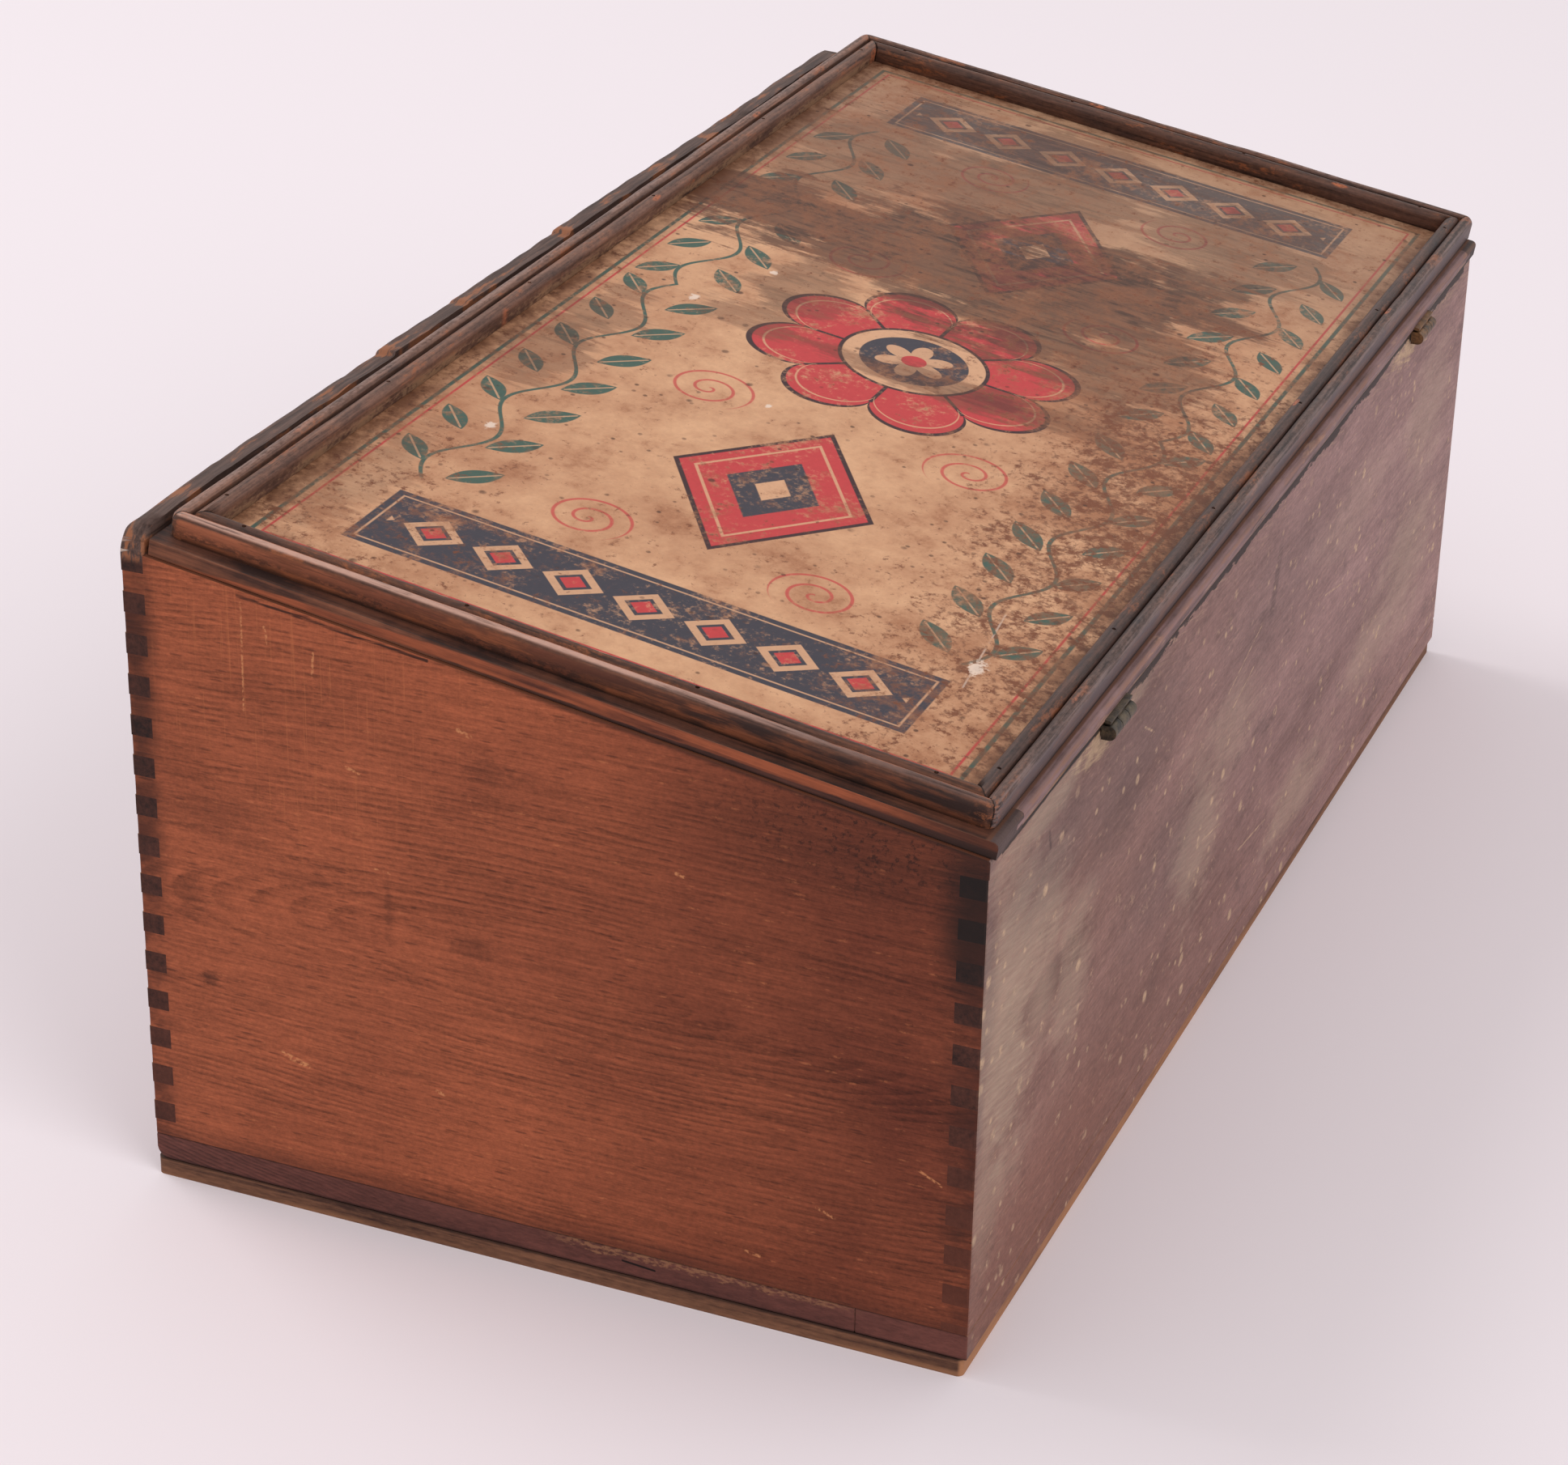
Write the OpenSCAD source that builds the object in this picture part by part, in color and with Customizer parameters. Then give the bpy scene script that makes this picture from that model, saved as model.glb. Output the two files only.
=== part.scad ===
// Sloping counter box for packets of dye: a finger-jointed wooden carcass with
// dividers inside, and a lid framed in moulding that swings on two butt hinges.
// +X is the near end, +Y the low side that carries the hinges, -Y the tall side
// whose top edge stands up behind the lid as a lip. The base is on Z = 0.

/* [Carcass] */
// Length over the outer faces of the two end panels
box_l = 523; // [460:1:600]
// Depth over the outer faces of the two long walls
box_d = 257; // [220:1:300]
// Height of the end panels' top edge at the low side
low_h = 162.5; // [140:0.5:190]
// Slope of the lid in degrees
slope = 9.1; // [6:0.1:12]
// Thickness of the end panels
end_t = 9.5; // [8:0.5:13]
// Thickness of the wall that carries the hinges
hinge_wall_t = 8; // [7.5:0.5:12]
// Thickness of the tall wall
tall_wall_t = 7; // [5:0.5:10]
// Height of one finger of the corner joints
finger_h = 6.35; // [5:0.05:10]
// Height of the end panels' lowest finger at the tall side
tall_first = 5; // [3:0.5:6]
// Height of the hinge wall's lowest finger
low_first = 2.8; // [2:0.1:5]
// Rise of the lip above the lid's seat
lip_rise = 7.3; // [2:0.1:10]
// Radius of the lip's worn outer edge
lip_round = 2; // [1:0.1:3]
// Radius of the lip's worn corners at the two ends
lip_end_r = 9; // [4:0.5:12]
// Gap left above the hinge wall, at its outer face
wall_drop = 1; // [0.8:0.1:1.5]

/* [Bottom] */
// Thickness of the two bottom boards
bottom_t = 8.4; // [6:0.1:12]
// Width of the narrow bottom board, at the low side
narrow_w = 33.5; // [25:0.5:60]
// Thickness of the base strips
base_t = 5.7; // [4:0.1:10]
// Width of the base strips
strip_w = 22; // [15:0.5:35]
// How far the base is set back from the face of the hinge wall
strip_in = 1.2; // [0:0.1:3]
// Radius of the base's corners
strip_round = 2; // [1:0.5:8]
// Radius of the wide bottom board's worn lower edge, at the tall side
bottom_round = 4; // [1:0.5:5]

/* [Dividers] */
// Thickness of the dividers
divider_t = 4; // [3:0.1:6]
// Distance from the lid's seat down to the dividers' top edges
divider_drop = 18; // [10:1:40]
// Play between the dividers and the walls, and in their halving joints
divider_play = 0.2; // [0.1:0.05:0.4]

/* [Lid] */
// How far the ends of the lid stay inside the faces of the end panels
lid_in = 1; // [0:0.25:3]
// Thickness of the lid's board and cleats
lid_t = 5; // [4.5:0.1:8]
// How far the lid stands out past the hinge wall
lid_over = 1.2; // [0.5:0.1:1.5]
// Gap between the lid and the lip behind it
lid_gap = 1.2; // [0.8:0.1:3]
// Play between the lid and its seat on the end panels
seat_play = 0.1; // [0.05:0.05:0.3]
// Width of the cleat at the near end
near_cleat_w = 20; // [14:0.5:30]
// Width of the cleat at the far end
far_cleat_w = 13; // [12:0.5:30]
// Length of the tongues that hold the cleats
tongue_l = 5; // [3:0.5:7]
// Thickness of the tongues
tongue_t = 1.6; // [1.2:0.1:2]
// Play of the tongues in their grooves
tongue_play = 0.1; // [0.05:0.05:0.2]

/* [Moulding] */
// Width of the moulding
mould_w = 9.6; // [8.6:0.1:12]
// Height of the moulding
mould_h = 7.4; // [6.5:0.1:10]
// Radius of the outer bead
ovolo_r = 2.4; // [1.8:0.1:2.6]
// Radius of the inner bead
bead_r = 2.4; // [1.5:0.1:2.5]
// How far the inner bead's crest lies under the outer bead's
bead_drop = 0.2; // [0:0.1:1]
// Width of the groove between the beads
groove_w = 0.6; // [0.4:0.1:1]
// Bare ledge of the lid outside the moulding at the near end
near_ledge = 4.75; // [1:0.25:8]
// How far the moulding stands out past the lid at the far end
far_over = 5.25; // [0:0.25:6]
// Bare ledge of the lid at the low side
low_ledge = 3.6; // [1:0.1:4.5]
// Bare ledge of the lid at the tall side
tall_ledge = 2.4; // [1:0.1:6]

/* [Sign plate] */
// Thickness of the tin plate
sign_t = 0.4; // [0.3:0.05:0.8]
// Width of the rebate under the moulding that holds the plate
rebate_w = 1.8; // [1.2:0.1:2]
// Play of the plate in the rebate
sign_play = 0.2; // [0.1:0.05:0.4]

/* [Hinges] */
// Length of a hinge
hinge_l = 19; // [16:0.5:30]
// Diameter of the knuckles
knuckle_d = 4.4; // [4:0.1:5]
// Gap between the knuckles and the wall, and round the knuckles where they turn
knuckle_gap = 0.4; // [0.3:0.05:0.6]
// Gap between one knuckle and the next
joint_gap = 0.3; // [0.2:0.05:0.5]
// Diameter of the hinge pins
pin_d = 1.6; // [1.2:0.1:2]
// Thickness of the leaves
leaf_t = 1; // [0.9:0.1:1.4]
// How far the leaves reach in from the face of the hinge wall
leaf_in = 6.4; // [6:0.1:7]
// Distance of the near hinge's middle from the near end
near_hinge_in = 99.5; // [40:0.5:180]
// Distance of the far hinge's middle from the far end
far_hinge_in = 79.5; // [40:0.5:180]

/* [Fasteners] */
// Shank diameter of the hinge screws
screw_d = 1.8; // [1.4:0.1:2]
// Head diameter of the hinge screws
screw_head_d = 3.2; // [2.8:0.1:3.4]
// Length of the screws in the hinge wall
wall_screw_l = 10; // [6:0.5:16]
// Length of the screws in the lid
lid_screw_l = 6.5; // [4:0.25:7]
// Distance between the two screws of a leaf
screw_pitch = 11; // [9:0.5:12]
// Distance of the screws from the face of the hinge wall
screw_in = 3.6; // [3.3:0.1:4]
// Diameter of the moulding brads
brad_d = 1.2; // [0.8:0.1:1.4]
// Length of the moulding brads
brad_l = 9.5; // [8:0.25:10.5]
// Depth of the brads' heads below the inner bead's crest
brad_sink = 0.6; // [0.4:0.1:1]
// Distance of the brads from the moulding's inner face
brad_in = 2.6; // [2.5:0.1:3]
// Distance of the first brad from a corner of the moulding
brad_inset = 20; // [15:1:30]
// Shank diameter of the bottom nails
nail_d = 1.8; // [1.4:0.1:2.4]
// Head diameter of the bottom nails
nail_head_d = 3.6; // [3:0.1:4.5]
// Thickness of the nails' heads
nail_head_t = 0.8; // [0.6:0.1:1.2]
// Length of the bottom nails
nail_l = 28; // [22:1:36]
// Depth of the nails' heads in the base strips
nail_sink = 0.4; // [0.2:0.1:1]
// Distance of the first nail from a corner of the box
nail_inset = 40; // [30:1:60]
// Radial play of pins, screws, brads and nails in their holes
hole_play = 0.05; // [0.02:0.01:0.08]

/* [Hidden] */
$fn = 48;

// Overlap of cutting tools past the faces that they open
cut = 1;
// Least height of a finger beside a top edge
least_finger = 1;
// Number of cross dividers
cross_count = 6;
// Brads along a long and along a short moulding
long_brad_count = 6;
short_brad_count = 4;
// Nails along a long wall and along an end panel
long_nail_count = 5;
short_nail_count = 3;

// Sides of a frame, in the order of its corners
hinge_side = 0;
far_side = 1;
tall_side = 2;
near_side = 3;

// Heights of the carcass
wall_z = base_t + bottom_t;
wall_top = low_h - wall_drop;
face_y = box_d / 2;
lip_y = -face_y + tall_wall_t;
lip_top = seat_z(lip_y) + lip_rise;
pitch = 2 * finger_h;

// Space inside the walls
inner_l = box_l - 2 * end_t;
inner_y = [lip_y, face_y - hinge_wall_t];
divider_y = (inner_y[0] + inner_y[1]) / 2;

// Lid in its own frame: Y = 0 over the hinge wall's face, Z = 0 on the seat
lid_z = seat_play;
lid_top = lid_z + lid_t;
lid_y = [-(box_d - tall_wall_t - lid_gap) / cos(slope), lid_over];
lid_x = [-box_l / 2 + lid_in, box_l / 2 - lid_in];
panel_x = [lid_x[0] + far_cleat_w, lid_x[1] - near_cleat_w];
frame_rect = [lid_x[0] - far_over, lid_x[1] - near_ledge, lid_y[0] + tall_ledge, lid_y[1] - low_ledge];
base_rect = [-box_l / 2, box_l / 2, -face_y, face_y - strip_in];

// Hinge axis, level with the wall's top edge at the knuckles' upper side
knuckle_r = knuckle_d / 2;
axis_y = face_y + knuckle_r + knuckle_gap;
axis_z = wall_top - knuckle_r;
near_hinge_x = box_l / 2 - near_hinge_in;
far_hinge_x = -box_l / 2 + far_hinge_in;
hinge_xs = [near_hinge_x, far_hinge_x];

// Colours
stained = [0.50, 0.25, 0.15];
faded = [0.50, 0.41, 0.40];
dark = [0.24, 0.17, 0.15];
plain = [0.62, 0.47, 0.32];
tin = [0.78, 0.60, 0.45];
brass = [0.35, 0.29, 0.18];
iron = [0.25, 0.22, 0.20];

// Height of the lid's seat above the base at a given Y
function seat_z(y) = low_h + (box_d / 2 - y) * tan(slope);

// Evenly spaced values from one end to the other
function spaced(a, b, count) = [for (i = [0:count - 1]) a + (b - a) * i / (count - 1)];

// A rectangle [x0, x1, y0, y1] made smaller on every side, and its corners
function inset(rect, w) = [rect[0] + w, rect[1] - w, rect[2] + w, rect[3] - w];
function corners(r) = [[r[1], r[3]], [r[0], r[3]], [r[0], r[2]], [r[1], r[2]]];

// Heights [low, high] of the tall wall's fingers; the last one is the lip
function tall_fingers() =
    let (start = wall_z + tall_first)
    let (last = floor((seat_z(lip_y) - least_finger - start) / pitch))
    [for (i = [0:last]) [start + pitch * i, i == last ? lip_top + cut : start + pitch * i + finger_h]];

// Heights [low, high] of the hinge wall's fingers
function low_fingers() =
    let (start = wall_z + low_first)
    let (last = floor((wall_top - least_finger - start) / pitch))
    [for (i = [0:last]) [start + pitch * i - finger_h, start + pitch * i]];

// Middle of a cross divider along the box
function cross_x(i) = -inner_l / 2 + inner_l * i / (cross_count + 1);

// Top edge of the dividers at a given Y
function divider_top(y) = seat_z(y) - divider_drop;

// Places of the moulding brads on the lid
function brad_places() =
    let (line = inset(frame_rect, mould_w - brad_in))
    let (ends = inset(frame_rect, brad_inset))
    concat(
        [for (x = spaced(ends[0], ends[1], long_brad_count)) for (y = [line[2], line[3]]) [x, y]],
        [for (y = spaced(ends[2], ends[3], short_brad_count)) for (x = [line[0], line[1]]) [x, y]]
    );

// Places of the bottom nails, in the middle of each wall's thickness
function nail_places() =
    let (long_ys = [-face_y + tall_wall_t / 2, face_y - hinge_wall_t / 2])
    let (long_end = box_l / 2 - nail_inset)
    let (short_end = face_y - nail_inset)
    let (short_x = box_l / 2 - end_t / 2)
    concat(
        [for (x = spaced(-long_end, long_end, long_nail_count)) for (y = long_ys) [x, y]],
        [for (y = spaced(-short_end, short_end, short_nail_count)) for (x = [-short_x, short_x]) [x, y]]
    );

// Extrudes a profile drawn in Y and Z along X, about the middle
module along_x(length) {
    rotate([90, 0, 90]) linear_extrude(length, center = true) children();
}

// Extrudes a profile drawn in X and Z along Y, between two values
module along_y(y0, y1) {
    translate([0, y1, 0]) rotate([90, 0, 0]) linear_extrude(y1 - y0) children();
}

// Box between two corners
module block(low, high) {
    translate(low) cube(high - low);
}

// Puts a piece of the lid from the lid's own frame into place
module on_lid() {
    translate([0, face_y, low_h]) rotate([-slope, 0, 0]) children();
}

// Cylinder round the hinge axis, from one X to another
module on_axis(r, x0, x1) {
    translate([x0, axis_y, axis_z]) rotate([0, 90, 0]) cylinder(r = r, h = x1 - x0);
}

// One mitred side of a rectangular frame
module frame_side(rect, w, h, side) {
    outer = corners(rect);
    inner = corners(inset(rect, w));
    next = (side + 1) % 4;
    linear_extrude(h) polygon([outer[side], outer[next], inner[next], inner[side]]);
}

// Fingers of the two long walls, through the end panels at both ends
module tall_finger_blocks() {
    for (f = tall_fingers())
        block([-box_l / 2, -face_y, f[0]], [box_l / 2, lip_y, f[1]]);
}

module low_finger_blocks() {
    for (f = low_fingers())
        block([-box_l / 2, inner_y[1], f[0]], [box_l / 2, face_y, f[1]]);
}

// Nail holes up into the walls, and through the boards below
module nail_holes() {
    for (p = nail_places())
        translate([p[0], p[1], nail_sink])
            cylinder(d = nail_d + 2 * hole_play, h = nail_l + hole_play);
}

module nail_head_holes() {
    for (p = nail_places())
        translate([p[0], p[1], -cut])
            cylinder(d = nail_head_d + 2 * hole_play, h = cut + nail_sink + nail_head_t);
}

// End panel in its place at +X: a sloping board cut by the walls' fingers
module end_panel() {
    difference() {
        translate([box_l / 2 - end_t / 2, 0, 0])
            along_x(end_t)
                polygon([
                    [-face_y, wall_z],
                    [face_y, wall_z],
                    [face_y, seat_z(face_y)],
                    [-face_y, seat_z(-face_y)]
                ]);
        tall_finger_blocks();
        low_finger_blocks();
        nail_holes();
    }
}

module end_panel_near() {
    color(stained) end_panel();
}

module end_panel_far() {
    color(stained) mirror([1, 0, 0]) end_panel();
}

// Wall section between the end panels, with its fingers at both ends
module fingered_wall() {
    along_x(inner_l) children(0);
    intersection() {
        along_x(box_l) children(0);
        children(1);
    }
}

// Mortise for a hinge leaf in the top of the hinge wall
module leaf_mortise(x) {
    block(
        [x - hinge_l / 2 - hole_play, face_y - leaf_in - hole_play, wall_top - leaf_t],
        [x + hinge_l / 2 + hole_play, face_y + cut, wall_top + cut]
    );
}

module hinge_wall() {
    color(faded) difference() {
        fingered_wall() {
            translate([inner_y[1], wall_z]) square([hinge_wall_t, wall_top - wall_z]);
            low_finger_blocks();
        }
        for (x = hinge_xs) leaf_mortise(x);
        wall_screw_shape(hole_play);
        nail_holes();
    }
}

// Section of the tall wall, with its worn outer edge rounded
module tall_section() {
    translate([-face_y, wall_z]) square([tall_wall_t, lip_top - lip_round - wall_z]);
    translate([-face_y + lip_round, wall_z]) square([tall_wall_t - lip_round, lip_top - wall_z]);
    translate([-face_y + lip_round, lip_top - lip_round]) circle(lip_round);
}

// Face of the tall wall, with its two top corners worn round
module tall_face() {
    half = box_l / 2;
    shoulder = lip_top - lip_end_r;
    translate([-half, wall_z]) square([box_l, shoulder - wall_z]);
    translate([-half + lip_end_r, wall_z]) square([box_l - 2 * lip_end_r, lip_top - wall_z]);
    for (side = [-1, 1])
        translate([side * (half - lip_end_r), shoulder]) circle(lip_end_r);
}

module tall_wall() {
    color(faded) difference() {
        intersection() {
            fingered_wall() {
                tall_section();
                tall_finger_blocks();
            }
            along_y(-face_y, lip_y) tall_face();
        }
        nail_holes();
    }
}

// Board of the bottom, extruded from its section and drilled for the nails
module bottom_board() {
    color(dark) difference() {
        along_x(box_l) children();
        nail_holes();
    }
}

// The wide board's lower edge at the tall side is worn round
module bottom_board_wide() {
    width = box_d - narrow_w;
    bottom_board() translate([-face_y, base_t]) {
        translate([0, bottom_round]) square([width, bottom_t - bottom_round]);
        translate([bottom_round, 0]) square([width - bottom_round, bottom_t]);
        translate([bottom_round, bottom_round]) circle(bottom_round);
    }
}

module bottom_board_narrow() {
    bottom_board() translate([face_y - narrow_w, base_t]) square([narrow_w, bottom_t]);
}

// Rectangle [x0, x1, y0, y1] with round corners
module round_rect(rect, r) {
    core = inset(rect, r);
    for (p = corners(core)) translate(p) circle(r);
    translate([core[0], rect[2]]) square([core[1] - core[0], rect[3] - rect[2]]);
    translate([rect[0], core[2]]) square([rect[1] - rect[0], core[3] - core[2]]);
}

module base_strip(side) {
    color(plain) difference() {
        intersection() {
            frame_side(base_rect, strip_w, base_t, side);
            linear_extrude(base_t) round_rect(base_rect, strip_round);
        }
        nail_head_holes();
        nail_holes();
    }
}

module base_strip_near() {
    base_strip(near_side);
}

module base_strip_far() {
    base_strip(far_side);
}

module base_strip_hinge_side() {
    base_strip(hinge_side);
}

module base_strip_tall_side() {
    base_strip(tall_side);
}

// Height at which the halved dividers meet
function halving_z() = (wall_z + divider_top(divider_y)) / 2;

// Long divider, slotted from above for each cross divider
module divider_long() {
    length = inner_l - 2 * divider_play;
    slot = divider_t / 2 + divider_play;
    color(plain) difference() {
        block(
            [-length / 2, divider_y - divider_t / 2, wall_z],
            [length / 2, divider_y + divider_t / 2, divider_top(divider_y + divider_t / 2)]
        );
        for (i = [1:cross_count])
            block(
                [cross_x(i) - slot, divider_y - divider_t, halving_z()],
                [cross_x(i) + slot, divider_y + divider_t, divider_top(divider_y) + cut]
            );
    }
}

// Cross divider, sloped along its top and slotted from below for the long one
module divider_cross(i) {
    y0 = inner_y[0] + divider_play;
    y1 = inner_y[1] - divider_play;
    slot = divider_t / 2 + divider_play;
    color(plain) difference() {
        translate([cross_x(i), 0, 0])
            along_x(divider_t)
                polygon([[y0, wall_z], [y1, wall_z], [y1, divider_top(y1)], [y0, divider_top(y0)]]);
        block(
            [cross_x(i) - divider_t, divider_y - slot, wall_z - cut],
            [cross_x(i) + divider_t, divider_y + slot, halving_z()]
        );
    }
}

// Shape that the lid's screws and hinge leaves take out of its board
module lid_hinge_cuts() {
    for (x = hinge_xs)
        on_lid()
            block(
                [x - hinge_l / 2 - hole_play, -leaf_in - hole_play, lid_z - cut],
                [x + hinge_l / 2 + hole_play, lid_over + cut, lid_z + leaf_t]
            );
    lid_screw_shape(hole_play);
}

// Board of the lid with a tongue at each end
module lid_panel() {
    tongue_z = lid_z + (lid_t - tongue_t) / 2;
    color(faded) difference() {
        on_lid() {
            block([panel_x[0], lid_y[0], lid_z], [panel_x[1], lid_y[1], lid_top]);
            block(
                [panel_x[0] - tongue_l, lid_y[0], tongue_z],
                [panel_x[1] + tongue_l, lid_y[1], tongue_z + tongue_t]
            );
        }
        lid_hinge_cuts();
        brad_shape(hole_play);
    }
}

// Cleat across one end of the lid, grooved for the tongue
module lid_cleat(x0, x1, groove_x0, groove_x1) {
    groove_z = lid_z + (lid_t - tongue_t) / 2 - tongue_play;
    color(stained) difference() {
        on_lid() difference() {
            block([x0, lid_y[0], lid_z], [x1, lid_y[1], lid_top]);
            block(
                [groove_x0, lid_y[0] - cut, groove_z],
                [groove_x1, lid_y[1] + cut, groove_z + tongue_t + 2 * tongue_play]
            );
        }
        brad_shape(hole_play);
    }
}

module lid_cleat_near() {
    lid_cleat(panel_x[1], lid_x[1], panel_x[1] - cut, panel_x[1] + tongue_l + tongue_play);
}

module lid_cleat_far() {
    lid_cleat(lid_x[0], panel_x[0], panel_x[0] - tongue_l - tongue_play, panel_x[0] + cut);
}

// Section of the moulding from its plain outer face inwards: the outer bead, a
// groove and the inner bead, over a rebate for the plate
module mould_section() {
    bead_x = mould_w - bead_r;
    bead_z = mould_h - bead_drop - bead_r;
    groove_x = bead_x - bead_r - groove_w;
    ovolo_z = mould_h - ovolo_r;
    difference() {
        union() {
            square([groove_x + groove_w, ovolo_z]);
            square([mould_w, bead_z]);
            intersection() {
                translate([ovolo_r, ovolo_z]) circle(ovolo_r);
                square([groove_x, mould_h]);
            }
            translate([bead_x, bead_z]) circle(bead_r);
        }
        translate([mould_w - rebate_w, -cut]) square([rebate_w + cut, cut + sign_t + sign_play]);
    }
}

// One mitred length of moulding on the lid
module moulding(side) {
    color(dark) difference() {
        on_lid() intersection() {
            translate([0, 0, lid_top]) frame_side(frame_rect, mould_w, mould_h, side);
            children();
        }
        brad_shape(hole_play);
        lid_screw_shape(hole_play);
    }
}

module moulding_near() {
    moulding(near_side)
        along_y(frame_rect[2], frame_rect[3])
            translate([frame_rect[1], lid_top]) mirror([1, 0]) mould_section();
}

module moulding_far() {
    moulding(far_side)
        along_y(frame_rect[2], frame_rect[3])
            translate([frame_rect[0], lid_top]) mould_section();
}

// Runs a section along the whole length of the moulding frame
module long_moulding_bar() {
    translate([(frame_rect[0] + frame_rect[1]) / 2, 0, 0])
        along_x(frame_rect[1] - frame_rect[0])
            children();
}

module moulding_hinge_side() {
    moulding(hinge_side)
        long_moulding_bar()
            translate([frame_rect[3], lid_top]) mirror([1, 0]) mould_section();
}

module moulding_tall_side() {
    moulding(tall_side)
        long_moulding_bar()
            translate([frame_rect[2], lid_top]) mould_section();
}

// Tin plate, held at its edges by the moulding's rebate
module sign_plate() {
    plate = inset(frame_rect, mould_w - rebate_w + sign_play);
    color(tin) on_lid()
        block([plate[0], plate[2], lid_top], [plate[1], plate[3], lid_top + sign_t]);
}

// Ends of the middle knuckle, which belongs to the lid
function middle_x(x) = [x - hinge_l / 6, x + hinge_l / 6];

// Knuckles of the wall leaf, on both sides of the middle one
module wall_knuckles(r, x, gap) {
    middle = middle_x(x);
    on_axis(r, x - hinge_l / 2 - gap, middle[0] + gap);
    on_axis(r, middle[1] - gap, x + hinge_l / 2 + gap);
}

module lid_knuckle(r, x, gap) {
    middle = middle_x(x);
    on_axis(r, middle[0] - gap, middle[1] + gap);
}

module pin_bore(x) {
    on_axis(pin_d / 2 + hole_play, x - hinge_l / 2 - cut, x + hinge_l / 2 + cut);
}

// Square backs of the wall leaf's knuckles, beside the wall
module knuckle_backs(x) {
    inner = hinge_l / 6 + joint_gap / 2;
    outer = hinge_l / 2 - joint_gap / 2;
    for (ends = [[-outer, -inner], [inner, outer]])
        block(
            [x + ends[0], face_y + knuckle_gap, axis_z - knuckle_r],
            [x + ends[1], axis_y, wall_top]
        );
}

// Leaf let into the top of the hinge wall
module wall_leaf(x) {
    color(brass) difference() {
        union() {
            block(
                [x - hinge_l / 2, face_y - leaf_in, wall_top - leaf_t],
                [x + hinge_l / 2, axis_y, wall_top]
            );
            knuckle_backs(x);
            wall_knuckles(knuckle_r, x, -joint_gap / 2);
        }
        lid_knuckle(knuckle_r + knuckle_gap, x, joint_gap / 2);
        pin_bore(x);
        wall_screw_shape(hole_play);
    }
}

// Leaf let into the underside of the lid, with a web down to its knuckle
module lid_leaf(x) {
    reach = (axis_y - face_y) * cos(slope) - (axis_z - low_h) * sin(slope);
    web_z = (axis_y - face_y) * sin(slope) + (axis_z - low_h) * cos(slope);
    web = middle_x(x) + [joint_gap / 2, -joint_gap / 2];
    color(brass) difference() {
        union() {
            on_lid() {
                block([x - hinge_l / 2, -leaf_in, lid_z], [x + hinge_l / 2, reach, lid_z + leaf_t]);
                block([web[0], reach - leaf_t, web_z], [web[1], reach, lid_z + leaf_t]);
            }
            lid_knuckle(knuckle_r, x, -joint_gap / 2);
        }
        wall_knuckles(knuckle_r + knuckle_gap, x, joint_gap / 2);
        pin_bore(x);
        lid_screw_shape(hole_play);
    }
}

module hinge_pin(x) {
    color(iron) on_axis(pin_d / 2, x - hinge_l / 2, x + hinge_l / 2);
}

module near_hinge_wall_leaf() {
    wall_leaf(near_hinge_x);
}

module near_hinge_lid_leaf() {
    lid_leaf(near_hinge_x);
}

module near_hinge_pin() {
    hinge_pin(near_hinge_x);
}

module far_hinge_wall_leaf() {
    wall_leaf(far_hinge_x);
}

module far_hinge_lid_leaf() {
    lid_leaf(far_hinge_x);
}

module far_hinge_pin() {
    hinge_pin(far_hinge_x);
}

// Countersunk screw pointing up from its head's face, grown by some play
module screw(length, play) {
    head_h = (screw_head_d - screw_d) / 2;
    cylinder(d1 = screw_head_d + 2 * play, d2 = screw_d + 2 * play, h = head_h);
    cylinder(d = screw_d + 2 * play, h = length + play);
}

module wall_screw_shape(play) {
    for (x = hinge_xs)
        for (side = [-1, 1])
            translate([x + side * screw_pitch / 2, face_y - screw_in, wall_top])
                rotate([180, 0, 0]) screw(wall_screw_l, play);
}

module lid_screw_shape(play) {
    for (x = hinge_xs)
        for (side = [-1, 1])
            on_lid()
                translate([x + side * screw_pitch / 2, -screw_in, lid_z])
                    screw(lid_screw_l, play);
}

module hinge_wall_screws() {
    color(iron) wall_screw_shape(0);
}

module hinge_lid_screws() {
    color(iron) lid_screw_shape(0);
}

// Brads sunk in the moulding's inner bead and driven into the lid; as a cutting
// shape they reach up through the bead
module brad_shape(play) {
    head_z = lid_top + mould_h - bead_drop - brad_sink;
    for (p = brad_places())
        on_lid()
            translate([p[0], p[1], head_z - brad_l - play])
                cylinder(d = brad_d + 2 * play, h = brad_l + play + (play > 0 ? brad_sink + cut : 0));
}

module moulding_brads() {
    color(iron) brad_shape(0);
}

// Nails driven up through the base and bottom into the walls
module bottom_nails() {
    color(iron)
        for (p = nail_places())
            translate([p[0], p[1], nail_sink]) {
                cylinder(d = nail_head_d, h = nail_head_t);
                cylinder(d = nail_d, h = nail_l);
            }
}

end_panel_near();
end_panel_far();
hinge_wall();
tall_wall();
bottom_board_wide();
bottom_board_narrow();
base_strip_near();
base_strip_far();
base_strip_hinge_side();
base_strip_tall_side();
divider_long();
divider_cross(1);  // divider_cross_1
divider_cross(2);  // divider_cross_2
divider_cross(3);  // divider_cross_3
divider_cross(4);  // divider_cross_4
divider_cross(5);  // divider_cross_5
divider_cross(6);  // divider_cross_6
lid_panel();
lid_cleat_near();
lid_cleat_far();
moulding_near();
moulding_far();
moulding_hinge_side();
moulding_tall_side();
sign_plate();
near_hinge_wall_leaf();
near_hinge_lid_leaf();
near_hinge_pin();
far_hinge_wall_leaf();
far_hinge_lid_leaf();
far_hinge_pin();
hinge_wall_screws();
hinge_lid_screws();
moulding_brads();
bottom_nails();
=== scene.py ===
import functools
import math

import bmesh
import bpy
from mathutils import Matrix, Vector, noise


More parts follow.
